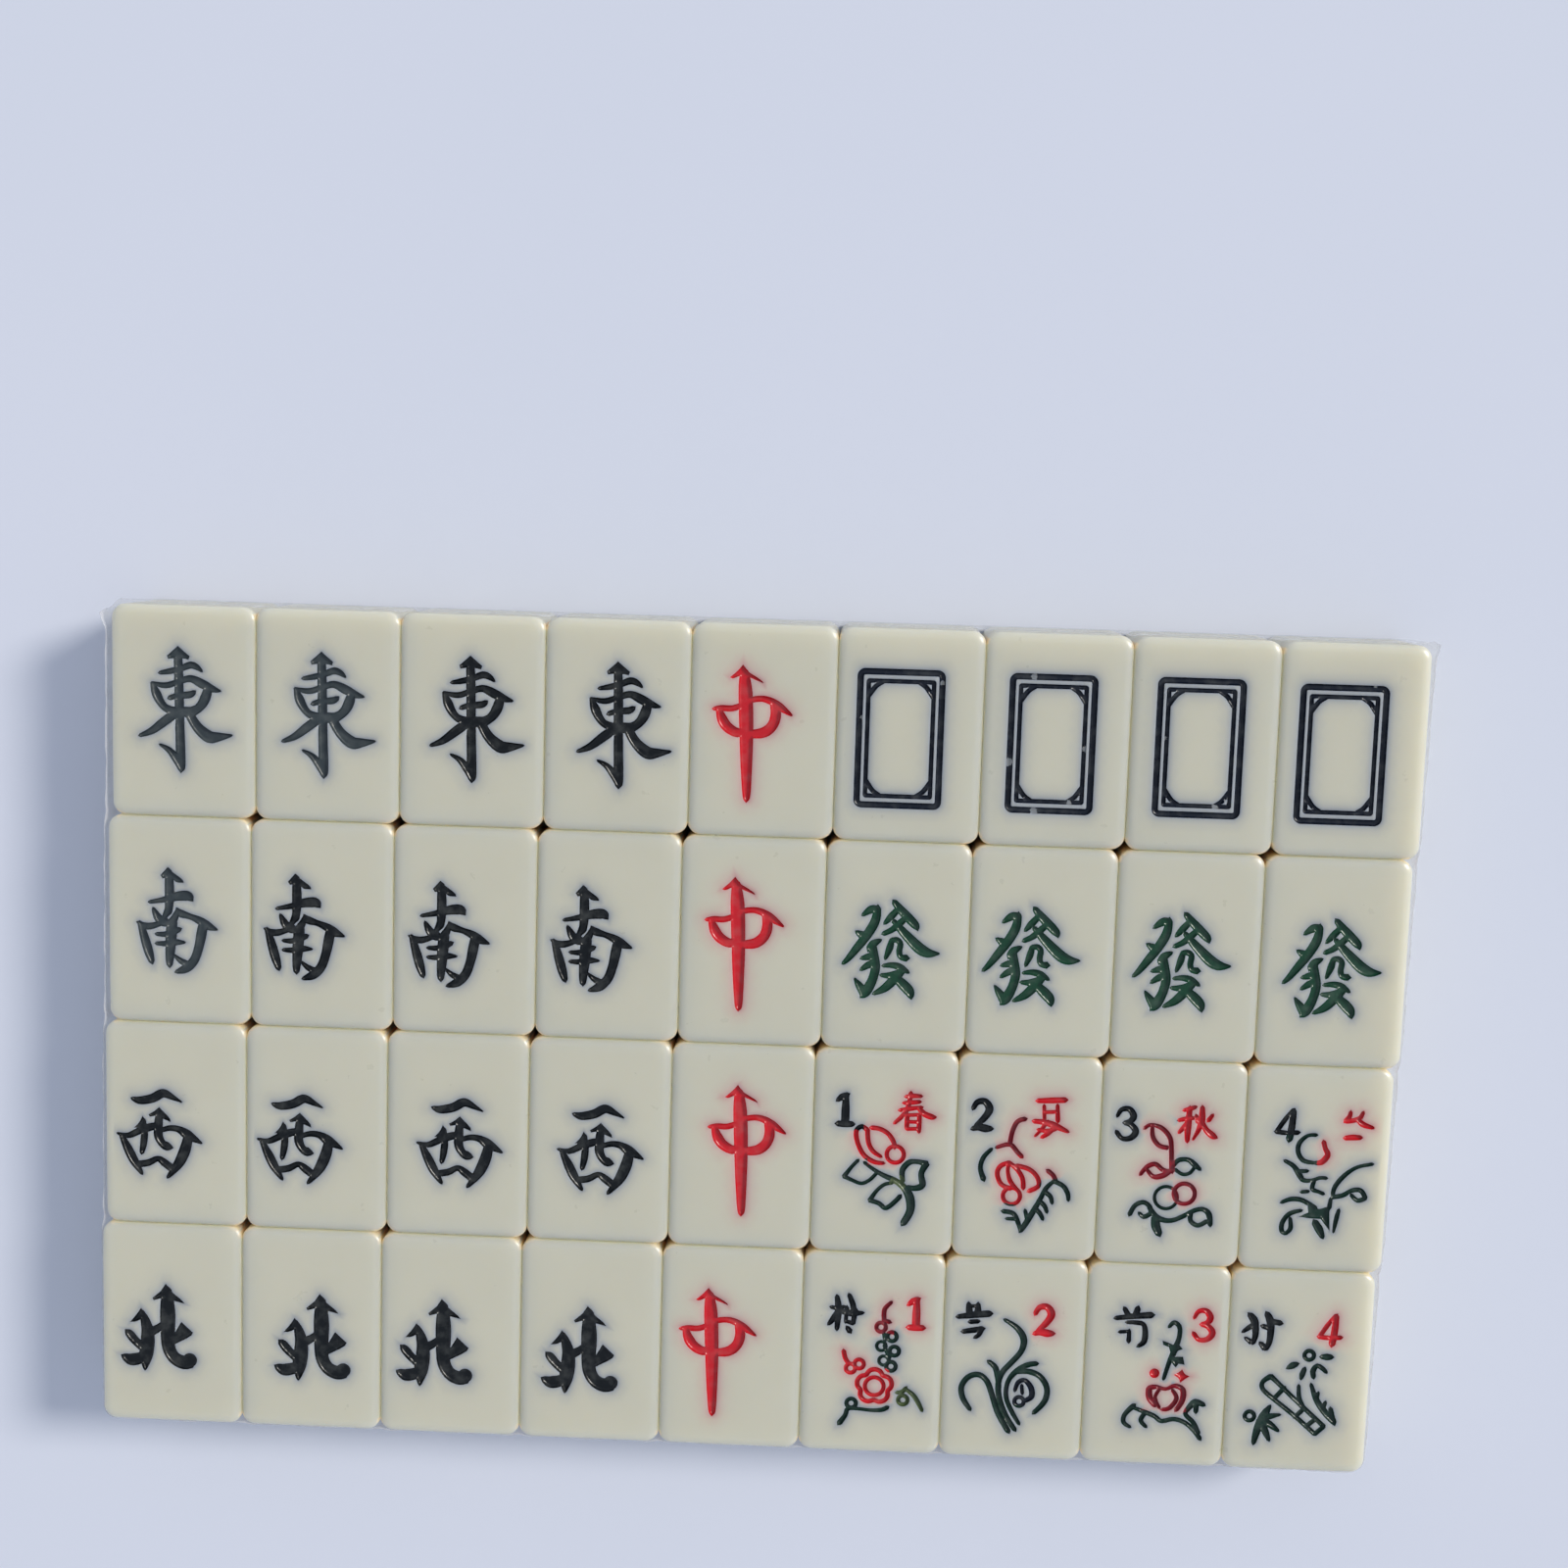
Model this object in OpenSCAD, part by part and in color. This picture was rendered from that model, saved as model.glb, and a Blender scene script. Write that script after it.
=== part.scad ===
// Pack of thirty-six engraved game tiles in a clear film wrap.
// It lies on its back: X runs along a row, Y points to the tops of the signs, Z points out of the faces.
// Lengths are in millimetres.

/* [Tile] */
// Width of a tile across its face
tile_w = 15; // [14:0.5:18]
// Height of a tile along its face
tile_h = 22; // [20:0.5:26]
// Thickness of a tile from its back to its face
tile_t = 11.5; // [8:0.5:16]
// Radius of the four upright edges
corner_r = 1.4; // [1:0.1:2]
// Radius of the rims round the face and the back
rim_r = 0.8; // [0.4:0.1:0.9]

/* [Signs] */
// Step of the grid that the signs are drawn on
sign_grid = 0.1; // [0.08:0.005:0.105]
// Weight of the brush strokes
stroke_weight = 1.15; // [0.9:0.05:1.2]
// Depth of the engraved signs
sign_depth = 0.4; // [0.2:0.05:0.8]

/* [Pack] */
// Gap between neighbouring tiles
tile_gap = 0.1; // [0.05:0.05:0.3]
// Sideways step of each row from the row below it
row_step = 0.5; // [0:0.1:0.8]

/* [Film] */
// Thickness of the film
film_t = 0.1; // [0.06:0.02:0.2]
// Gap between the film and the tiles beside it
film_gap = 0.1; // [0.05:0.05:0.4]
// Drop of the film's cut edge below the faces
film_drop = 0.6; // [0.3:0.1:3]
// How far the film stands off the upper left tile
ear_out = 1; // [0.5:0.1:2]
// Angle between the folded corner of the film and the rows
ear_angle = 32; // [20:1:60]

/* [Hidden] */
$fn = 48;
// Straight pieces between two points of a brush stroke
stroke_steps = 3;
// Least width of a brush stroke, in grid steps
least_width = 0.6;
// How far the engraving cutters reach past the face
cut_over = 1;

pitch_x = tile_w + tile_gap;
pitch_y = tile_h + tile_gap;

// Signs, on a grid with its zero at the middle of the sign and Y up.
// A brush stroke is a list of points [x, y, width] along its middle.
// A solid patch is a list of corners [x, y].
// A ring is one point [x, y, radius, width].

east = [
    [[-2, 67], [-13, 57], [-12, 54], [-6, 55], [3, 55], [9, 54], [10, 57]],
    [[-2, 63, 7], [-1, 30, 8], [0, -20, 8], [1, -55, 8], [1, -62, 5]],
    [[-21, -36, 2], [-12, -41, 5], [-5, -49, 7], [0, -59, 5]],
    [[-21, 39, 3], [-10, 41, 5], [1, 44, 5], [11, 48, 6], [18, 46, 5], [23, 42, 2]],
    [[-29, 28, 3], [-25, 18, 8], [-20, 8, 7], [-13, 1, 6], [-5, -2, 5]],
    [[-29, 28, 3], [-15, 26, 5], [-2, 30, 5], [11, 34, 6], [23, 29, 8], [34, 24, 6], [42, 22, 2]],
    [[30, 26, 7], [27, 15, 9], [22, 6, 8], [14, -1, 7]],
    [[-11, 13, 4], [-2, 16, 5], [10, 17, 6], [15, 20, 4]],
    [[-17, 5, 4], [-8, 0, 7], [3, -1, 9], [13, 0, 8], [20, 6, 4]],
    [[-4, -2, 8], [-17, -12, 8], [-30, -22, 6], [-42, -27, 3]],
    [[10, -3, 8], [18, -16, 9], [30, -26, 11], [40, -26, 8], [54, -24, 2]]
];

south = [
    [[-10, 56], [-17, 48], [-15, 45], [-8, 46], [0, 41], [7, 41], [6, 44], [-4, 51]],
    [[-9, 53, 6], [-8, 40, 8], [-8, 22, 8], [-9, 8, 6]],
    [[-29, 19, 3], [-14, 22, 5], [0, 26, 8], [11, 27, 9], [15, 24, 6]],
    [[-25, 12, 3], [-21, 4, 7], [-16, -2, 7], [-8, -4, 5]],
    [[-8, 18, 6], [-12, 6, 5], [-18, -3, 4]],
    [[-42, -3, 2], [-32, -7, 6], [-22, -5, 5], [-12, 0, 5]],
    [[0, 13, 2], [4, 8, 7], [14, 5, 5], [24, 1, 7], [32, -4, 8], [42, -8, 2]],
    [[1, 11, 4], [-2, 4, 6], [-6, -3, 8]],
    [[-39, -4, 5], [-34, -21, 8], [-30, -35, 8], [-27, -45, 5]],
    [[28, -2, 8], [26, -13, 9], [23, -28, 8], [18, -42, 8], [9, -51, 8], [-1, -55, 3]],
    [[-3, -37, 2], [4, -43, 5], [13, -47, 6]],
    [[-22, -15, 3], [-12, -15, 5], [-4, -12, 6], [3, -9, 4]],
    [[-22, -25, 3], [-12, -25, 5], [-2, -23, 6], [8, -23, 2]],
    [[-5, -1, 9], [-6, -13, 10], [-7, -28, 9], [-8, -42, 7], [-8, -48, 5]]
];

west = [
    [[-29, 37, 3], [-21, 35, 7], [-7, 38, 8], [4, 44, 8], [14, 40, 5], [24, 35, 1]],
    [[-18, 18], [-21, 11], [-27, 5], [-20, 4], [-12, 6], [-15, 12]],
    [[-17, 14, 4], [-16, 0, 6], [-17, -12, 6], [-19, -22, 4]],
    [[0, 28], [-6, 23], [-11, 20], [-10, 18], [-4, 19], [4, 16], [12, 13], [11, 17], [5, 23]],
    [[0, 24, 6], [-1, 8, 8], [-1, -3, 8], [3, -11, 7], [8, -14, 8], [12, -15, 5]],
    [[-45, -2, 2], [-34, -4, 5], [-23, 1, 6], [-11, 6, 7], [-3, 8, 6]],
    [[1, 3, 4], [11, 6, 5], [21, 5, 6], [31, -1, 9], [45, -9, 2]],
    [[-41, -4, 4], [-34, -18, 8], [-27, -32, 8], [-19, -45, 3]],
    [[31, -2, 8], [28, -16, 10], [21, -32, 9], [9, -48, 3]],
    [[-24, -35, 6], [-12, -33, 6], [-2, -28, 5], [5, -32, 7], [13, -38, 7]]
];

north = [
    [[9, 48], [4, 40], [-5, 32], [-4, 30], [4, 32], [16, 30], [29, 27], [26, 31], [17, 38]],
    [[10, 42, 9], [11, 18, 14], [11, -7, 13], [12, -23, 12], [18, -34, 12], [28, -39, 13], [35, -37, 14]],
    [[35, -36, 0, 15]],
    [[14, -4], [19, -6], [26, 6], [38, -5], [36, -9], [14, -21]],
    [[-12, -8, 10], [0, -2, 7], [10, 5, 8]],
    [[-17, 17, 3], [-14, 8, 8], [-11, -4, 11], [-11, -18, 13], [-13, -34, 12], [-14, -48, 3]],
    [[-18, 20], [-23, 12], [-30, 4], [-24, 5], [-17, 8], [-12, 10]],
    [[-33, -7, 6], [-30, -10, 8], [-25, -16, 8], [-16, -25, 7]],
    [[-37, -35, 6], [-30, -38, 11], [-22, -37, 11], [-13, -33, 9]]
];

red = [
    [[-5, 67], [-11, 60], [-18, 54], [-15, 53], [-9, 56], [2, 55], [16, 49], [15, 51], [9, 55], [0, 60]],
    [[-4, 61, 7], [-2, 40, 12], [0, 0, 12], [1, -35, 10], [2, -66, 7], [2, -73, 4]],
    [[-34, 21, 3], [-26, 22, 5], [-15, 22, 5], [-4, 26, 5]],
    [[-29, 21, 5], [-25, 10, 9], [-19, 2, 9], [-9, -3, 8], [0, 0, 6]],
    [[2, 31, 5], [14, 33, 5], [24, 31, 6], [34, 25, 7], [46, 17, 2]],
    [[27, 30, 6], [30, 18, 9], [27, 6, 9], [18, -2, 9], [5, -4, 7]]
];

green = [
    [[-31, 36, 3], [-23, 42, 7], [-17, 43, 6]],
    [[-16, 44, 6], [-18, 30, 8], [-26, 15, 8], [-36, 1, 7], [-45, -11, 5], [-50, -16, 3]],
    [[-37, 18, 3], [-32, 15, 7], [-27, 13, 8]],
    [[1, 51, 5], [7, 44, 7], [16, 35, 8], [24, 27, 7], [26, 23, 3]],
    [[5, 43, 5], [-2, 35, 6], [-8, 28, 3]],
    [[14, 35, 5], [6, 27, 6], [-1, 21, 5], [-9, 17, 4]],
    [[1, 31, 4], [9, 22, 7], [20, 11, 9], [30, 2, 10], [39, -2, 8], [49, -2, 2]],
    [[-12, 10, 3], [-19, 6, 7], [-23, 0, 6]],
    [[-20, 6, 6], [-18, -7, 8], [-16, -19, 8], [-19, -33, 8], [-25, -45, 9], [-29, -50, 5]],
    [[-31, -10, 3], [-24, -8, 6], [-17, -6, 6]],
    [[-31, -22, 3], [-24, -17, 6], [-17, -14, 6]],
    [[-37, -32, 2], [-33, -38, 6], [-27, -46, 9]],
    [[0, 11, 4], [-2, 2, 6], [-6, -9, 3]],
    [[-1, 10, 4], [5, 11, 5], [9, 7, 5], [8, -1, 5], [10, -7, 5], [16, -8, 6]],
    [[-8, -17, 3], [1, -16, 5], [10, -18, 6], [18, -23, 3]],
    [[-10, -27, 3], [0, -27, 6], [11, -23, 6]],
    [[13, -22, 4], [4, -31, 8], [-6, -41, 7], [-17, -47, 3]],
    [[3, -27, 5], [12, -35, 9], [20, -43, 9], [22, -49, 5]]
];

// The white sign's corner brackets. Its two frames are drawn by frame_sign().
white = [
    for (sx = [-1, 1], sy = [-1, 1]) [[sx * 19, sy * 59, 4], [sx * 26, sy * 54, 4], [sx * 33, sy * 44, 4]]
];
frame_outer = [90, 144];
frame_outer_line = 6;
frame_outer_r = 8;
frame_inner = [71, 123];
frame_inner_line = 4;
frame_inner_r = 3;

one = [
    [[0, 15, 5], [0, 0, 7], [0, -15, 7]],
    [[-9, 9, 3], [-4, 13, 6], [2, 16, 4]],
    [[-8, -16, 5], [0, -16, 6], [8, -16, 5]]
];

two = [
    [[-10, 7, 4], [-6, 14, 5], [2, 15, 6], [7, 8, 7], [4, 0, 6], [-6, -12, 5]],
    [[-10, -15, 4], [-4, -13, 6], [4, -14, 7], [10, -14, 4]]
];

three = [
    [[-10, 8, 3], [-6, 15, 4], [2, 16, 5], [7, 9, 6], [4, 3, 5], [-2, 1, 4]],
    [[-2, 1, 4], [5, -1, 5], [10, -8, 6], [5, -15, 5], [-4, -16, 4], [-10, -9, 4]]
];

four = [
    [[4, 18, 4], [-4, 8, 4], [-12, -5, 4]],
    [[-13, -6, 4], [-2, -7, 4], [10, -6, 4]],
    [[4, 17, 5], [3, 0, 6], [1, -14, 6]]
];

spring_sign = [
    [[-8, 16, 3], [0, 17, 4], [8, 17, 3]],
    [[-10, 9, 3], [0, 10, 4], [7, 11, 3]],
    [[-14, 1, 3], [-4, 3, 4], [9, 5, 3]],
    [[-3, 20, 4], [-5, 6, 4], [-10, -4, 4], [-19, -13, 3]],
    [[6, 4, 4], [12, -2, 5], [20, -5, 5], [24, -5, 2]],
    [[-6, -3, 4], [-6, -18, 4]],
    [[7, -3, 4], [7, -21, 4]],
    [[-6, -4, 3], [7, -3, 3]],
    [[-6, -11, 3], [7, -11, 3]],
    [[-6, -19, 3], [7, -18, 3]]
];

summer_sign = [
    [[-15, 18, 4], [0, 19, 5], [14, 20, 5]],
    [[-8, 13, 3], [-7, -3, 3]],
    [[6, 14, 3], [7, -3, 4]],
    [[-7, 6, 3], [6, 7, 3]],
    [[-18, -4, 4], [-6, -5, 5], [4, -8, 6], [18, -14, 3]],
    [[-4, -4, 4], [-10, -13, 3], [-16, -20, 2]],
    [[-13, -13, 3], [-2, -14, 4], [9, -9, 4]],
    [[5, -9, 4], [-3, -17, 4], [-9, -21, 3]]
];

autumn_sign = [
    [[-13, 15, 3], [-6, 17, 4], [-1, 19, 3]],
    [[-18, 4, 3], [-10, 6, 4], [-2, 7, 3]],
    [[-7, 18, 4], [-8, 0, 6], [-8, -18, 4]],
    [[-8, 3, 4], [-13, -4, 4], [-17, -9, 3]],
    [[0, 10, 3], [2, 3, 4]],
    [[17, 11, 3], [13, 5, 4]],
    [[6, 19, 4], [6, 4, 6], [3, -6, 4], [-2, -16, 2]],
    [[6, 4, 4], [11, -5, 5], [18, -11, 6], [22, -13, 3]]
];

winter_sign = [
    [[-8, 14, 3], [-9, 9, 4], [-13, 4, 4]],
    [[5, 14, 3], [2, 8, 4], [-5, 5, 4], [-12, 4, 4]],
    [[0, 6, 4], [6, 1, 5], [16, -2, 3]],
    [[-12, -14, 4], [-4, -13, 5], [4, -13, 4]]
];

plum_sign = [
    [[-10, 18, 4], [-8, 4, 6], [-9, -18, 4]],
    [[-16, 6, 3], [-9, 5, 4], [-2, 7, 3]],
    [[-9, 2, 4], [-14, -8, 5], [-18, -13, 3]],
    [[3, 20, 4], [7, 10, 5], [9, 0, 5]],
    [[-6, 2, 4], [6, 0, 6], [18, 1, 3]],
    [[1, 6, 4], [0, -10, 3]],
    [[10, 4, 5], [8, -11, 4]],
    [[0, -9, 3], [8, -11, 4]],
    [[2, -16, 4], [5, -20, 5]]
];

orchid_sign = [
    [[-6, 18, 4], [-5, 10, 6], [-5, 5, 4]],
    [[4, 18, 4], [4, 10, 6], [3, 5, 4]],
    [[-6, 15, 3], [4, 16, 3]],
    [[-17, 3, 4], [0, 6, 6], [17, 8, 6]],
    [[-4, -2, 4], [5, -1, 4]],
    [[-11, -13, 4], [0, -11, 5], [10, -9, 5]],
    [[9, -10, 4], [6, -16, 4], [2, -19, 3]]
];

chrysanthemum_sign = [
    [[-20, 9, 4], [0, 12, 5], [18, 14, 6]],
    [[-11, 20, 4], [-7, 13, 5]],
    [[3, 21, 5], [1, 13, 6]],
    [[-8, 5, 3], [3, 5, 4], [10, 3, 4], [12, -6, 5], [11, -16, 5], [5, -21, 3]],
    [[-15, -6, 3], [-6, -5, 3]],
    [[-5, -4, 3], [-5, -16, 4]]
];

bamboo_sign = [
    [[-14, 18, 5], [-9, 12, 7], [-7, 2, 6], [-7, -6, 5], [-9, -13, 4]],
    [[-20, -1, 3], [-12, 5, 5], [-8, 6, 4]],
    [[-17, -8, 3], [-11, -12, 5]],
    [[4, 20, 5], [8, 12, 7], [9, 0, 6], [8, -12, 5], [5, -19, 4]],
    [[7, 12, 5], [19, 10, 5]],
    [[0, 6, 4], [8, 4, 5]],
    [[-1, -13, 4], [4, -18, 6]]
];

spring_plant = [
    [[-18, 24, 4], [-24, 28, 4], [-30, 23, 4], [-28, 10, 4], [-21, -3, 4], [-10, -10, 4], [0, -11, 3]],
    [[-18, 25, 4], [-17, 12, 4], [-12, 2, 4], [-3, -4, 3]],
    [[-14, 27, 4], [-5, 26, 4], [4, 21, 4], [10, 12, 4], [11, 6, 3]],
    [[12, -1, 9, 4]],
    [[-27, -9, 3], [-34, -17, 3], [-41, -27, 4]],
    [[-41, -27, 4], [-32, -31, 3], [-22, -34, 3], [-13, -29, 3], [-7, -22, 3]],
    [[-20, -11, 3], [-12, -17, 3], [0, -24, 4], [12, -29, 5], [22, -36, 6], [29, -47, 8],
        [30, -62, 7], [23, -76, 6]],
    [[10, -32, 3], [2, -34, 3], [-6, -41, 3], [-13, -52, 4]],
    [[-13, -52, 4], [-3, -55, 4], [4, -60, 4], [13, -53, 4], [19, -46, 4]],
    [[21, -30, 4], [20, -18, 5], [27, -9, 5], [36, -8, 4], [45, -10, 6]],
    [[45, -10, 6], [40, -21, 5], [42, -33, 6], [34, -37, 5], [26, -36, 4]]
];

summer_plant = [
    [[-4, 43, 4], [-12, 40, 4], [-17, 29, 4], [-19, 16, 4]],
    [[-33, 11, 3], [-19, 15, 4], [-11, 7, 4], [-6, 2, 4]],
    [[-38, 9, 3], [-46, 0, 4], [-49, -12, 4], [-45, -24, 5]],
    [[-19, -5, 4], [-28, -9, 4], [-31, -18, 4], [-26, -29, 4], [-16, -33, 4]],
    [[-19, -5, 4], [-20, -14, 3], [-17, -25, 4], [-10, -33, 3]],
    [[-19, -5, 4], [-10, -12, 4], [-4, -22, 4], [-3, -32, 4]],
    [[-15, -41, 9, 4]],
    [[-11, -8, 4], [2, -11, 4], [11, -19, 4], [13, -29, 4], [3, -35, 4]],
    [[22, -12, 4], [28, -17, 4], [31, -24, 4]],
    [[29, -23, 4], [39, -28, 4], [44, -36, 4], [45, -43, 3]],
    [[29, -23, 3], [21, -31, 4], [15, -44, 4], [8, -58, 5], [1, -71, 5], [-4, -79, 4]],
    [[20, -35, 4], [26, -40, 4], [28, -47, 3]],
    [[14, -45, 4], [20, -50, 4], [23, -57, 3]],
    [[10, -53, 4], [16, -59, 4], [19, -65, 3]],
    [[0, -56, 3], [3, -66, 4]],
    [[-23, -58, 4], [-12, -60, 4], [-7, -69, 4], [-4, -78, 3]],
    [[-19, -66, 3], [-9, -66, 3]]
];

autumn_plant = [
    [[-30, 38, 3], [-24, 42, 3], [-12, 39, 4], [-3, 29, 4], [-1, 17, 4], [0, 2, 4], [1, -7, 5]],
    [[-22, 40, 3], [-21, 29, 4], [-14, 20, 4], [-5, 18, 4]],
    [[-32, -12, 3], [-26, -4, 4], [-17, 0, 4], [-9, -6, 4], [-1, -8, 4]],
    [[-25, -7, 3], [-18, -14, 4], [-8, -12, 5], [0, -6, 4]],
    [[1, -2, 4], [7, 5, 4], [17, 6, 4], [24, 1, 5], [30, -4, 3]],
    [[4, -5, 3], [12, -10, 3], [20, -8, 3], [25, 0, 3]],
    [[-4, -36, 12, 3]],
    [[15, -31, 11, 4]],
    [[-41, -56, 4], [-36, -46, 4], [-27, -42, 4], [-20, -47, 4], [-19, -54, 4]],
    [[-19, -54, 4], [-26, -58, 4], [-31, -54, 3]],
    [[-21, -47, 4], [-12, -58, 5], [2, -61, 4], [16, -55, 4], [26, -49, 4], [35, -47, 4],
        [42, -52, 5], [44, -64, 4]],
    [[23, -51, 4], [23, -60, 4], [31, -65, 4], [40, -60, 4]],
    [[-14, -58, 7], [-13, -67, 8], [-9, -76, 6]]
];

winter_plant = [
    [[-2, 38, 3], [-11, 37, 3], [-19, 29, 4], [-20, 19, 4], [-14, 10, 4], [-3, 8, 3]],
    [[-2, 8, 3], [5, 9, 5], [11, 17, 5], [8, 24, 4], [6, 31, 4]],
    [[-33, 9, 3], [-24, 4, 4], [-18, -4, 5], [-13, -11, 4], [-4, -11, 3], [4, -8, 3], [11, -8, 3]],
    [[-18, -2, 4], [-9, -1, 3]],
    [[-1, -10, 3], [-3, -20, 4], [4, -23, 3], [9, -25, 3]],
    [[-14, -24, 3], [-7, -23, 3]],
    [[19, -29, 3], [20, -18, 4], [29, -5, 4], [42, 5, 3], [58, 9, 3]],
    [[19, -28, 4], [29, -26, 4], [39, -20, 4], [48, -20, 4], [53, -28, 4]],
    [[53, -28, 4], [45, -31, 4], [38, -25, 3]],
    [[-34, -36, 3], [-24, -32, 4], [-12, -33, 4], [2, -41, 4]],
    [[-13, -44, 3], [-25, -48, 4], [-32, -58, 4], [-32, -67, 4], [-28, -70, 3]],
    [[-28, -70, 3], [-23, -64, 4], [-24, -53, 3]],
    [[-6, -39], [6, -42], [17, -38], [16, -46], [18, -65], [8, -52], [-2, -52], [-15, -51], [-5, -46]],
    [[2, -56, 6], [7, -64, 7], [11, -72, 4]],
    [[17, -30, 3], [16, -40, 4]],
    [[26, -42, 3], [24, -52, 4], [22, -66, 2]]
];

// The plum blossom's middle, the number of its petals and how far they reach
blossom = [4, -36];
petals = 5;
petal_reach = 19;

plum_plant = [
    [[19, 58, 3], [12, 50, 4], [12, 37, 4]],
    [[18, 36, 4], [11, 38, 3]],
    [[9, 30, 5, 4]],
    [[21, 20, 5, 4]],
    [[14, 16, 4], [12, 24, 3]],
    [[10, 9, 5, 3]],
    [[24, 4, 5, 4]],
    [[13, -7, 5, 3]],
    [[21, -13, 5, 4]],
    [[13, 10, 3], [19, -4, 4]],
    [[-30, 2, 4], [-28, -6, 4], [-24, -12, 4]],
    [[-22, -17, 5, 4]],
    [[-13, -12, 5, 4]],
    [concat(blossom, [10, 4])],
    for (petal = [0:petals - 1]) [
        for (step = [-2:2])
            let (a = 90 + (petal + step / 4) * 360 / petals, reach = petal_reach - step * step)
                concat(blossom + reach * [cos(a), sin(a)], 4)
    ],
    [[-32, -79, 5], [-26, -70, 4], [-23, -62, 4], [-12, -62, 3], [2, -63, 3], [13, -62, 4], [19, -59, 4]],
    [[-20, -56, 5, 4]],
    [[35, -50, 5, 4]],
    [[28, -42, 3], [34, -41, 4], [38, -36, 3]],
    [[38, -38, 3], [46, -44, 4], [52, -53, 4], [56, -61, 3]]
];

orchid_plant = [
    [[-11, 44, 3], [2, 36, 5], [10, 24, 6], [8, 10, 5], [-2, -3, 5], [-11, -14, 5], [-15, -27, 5],
        [-13, -44, 5], [-6, -62, 5], [5, -78, 4]],
    [[-44, -57, 4], [-52, -45, 5], [-54, -32, 5], [-47, -21, 5], [-36, -18, 5], [-27, -25, 5],
        [-21, -40, 5], [-14, -60, 5], [-2, -80, 5]],
    [[-26, -3, 4], [-19, -9, 5], [-16, -19, 5], [-14, -32, 4]],
    [[9, -71, 3], [1, -58, 4], [-6, -42, 4], [-5, -25, 4], [3, -13, 5], [15, -5, 5], [25, -3, 4]],
    [[3, -14, 3], [16, -12, 5], [29, -17, 5], [37, -30, 5], [35, -45, 5], [24, -58, 4]],
    [[3, -34, 3], [6, -25, 4], [13, -22, 4], [20, -30, 5], [21, -40, 5], [14, -45, 4]],
    [[10, -28, 3], [11, -37, 3]],
    [[8, -46, 5, 4]]
];

chrysanthemum_plant = [
    [[12, 44, 3], [17, 49, 4], [23, 44, 4], [23, 32, 4], [19, 19, 5], [14, 5, 4], [9, -14, 3]],
    [[6, 28], [12, 26], [17, 24], [22, 26], [27, 20], [22, 18], [20, 12], [15, 16], [13, 22], [7, 24]],
    [[15, 8], [20, 11], [28, 11], [30, 3], [24, 4], [21, 0], [18, 3]],
    [[-1, -8, 0, 10]],
    [[20, -9], [25, -6], [28, -3], [31, -8], [36, -10], [30, -14], [27, -17], [25, -12]],
    [[-6, -25, 5], [1, -23, 4], [12, -25, 3], [21, -21, 4], [30, -25, 5], [30, -37, 5], [24, -48, 4]],
    [[-6, -25, 5], [-5, -35, 6], [1, -44, 4]],
    [[5, -26, 3], [1, -35, 3], [6, -46, 3]],
    [[19, -26, 3], [24, -35, 4], [17, -46, 4], [9, -48, 3]],
    [[-21, -45, 5], [-30, -55, 4], [-31, -64, 4], [-24, -69, 3]],
    [[-22, -47, 3], [-8, -52, 4], [2, -56, 4], [9, -61, 4], [22, -58, 4], [35, -62, 4],
        [45, -71, 4], [51, -79, 4]],
    [[-9, -53, 4], [-13, -61, 4], [-7, -68, 3]],
    [[49, -73, 4], [43, -61, 4], [34, -52, 4], [38, -44, 5], [44, -38, 6], [53, -41, 4]],
    [[45, -40, 5], [45, -49, 4]]
];

bamboo_plant = [
    [[10, 19, 5, 4]],
    [[-49, -51, 5, 4]],
    [[-12, 4, 3], [-7, 7, 6], [-2, 9, 4]],
    [[23, 18, 4], [29, 18, 6], [34, 18, 4]],
    [[6, 4, 4], [4, -2, 5], [3, -7, 3]],
    [[16, -5, 4], [15, 2, 5], [19, 8, 4], [25, 5, 4], [29, 1, 3]],
    [[-29, -6, 5], [-22, -12, 4], [-6, -27, 4], [12, -43, 4], [30, -59, 4]],
    [[-29, -6, 5], [-37, -12, 4], [-37, -20, 4], [-27, -29, 4], [-10, -42, 4], [5, -54, 4], [21, -68, 4]],
    [[30, -59, 4], [21, -68, 4]],
    [[-14, -18, 4], [-24, -30, 4]],
    [[8, -40, 4], [-1, -50, 4]],
    [[21, -51, 4], [11, -60, 4]],
    [[1, -15, 3], [2, -28, 4], [6, -38, 5]],
    [[14, -13, 3], [20, -29, 5], [30, -43, 6], [39, -52, 6], [41, -56, 3]],
    [[22, -22, 3], [20, -30, 4]],
    [[30, -32, 3], [28, -40, 4]],
    [[36, -39, 4], [39, -50, 4]],
    [[-28, -39, 3], [-34, -50, 8], [-40, -66, 7], [-43, -81, 4]],
    [[-17, -48, 2], [-26, -50, 5], [-34, -52, 6]],
    [[-18, -66, 3], [-26, -60, 6], [-34, -55, 6]],
    [[-27, -77, 3], [-31, -68, 6], [-35, -60, 6]]
];

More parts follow.
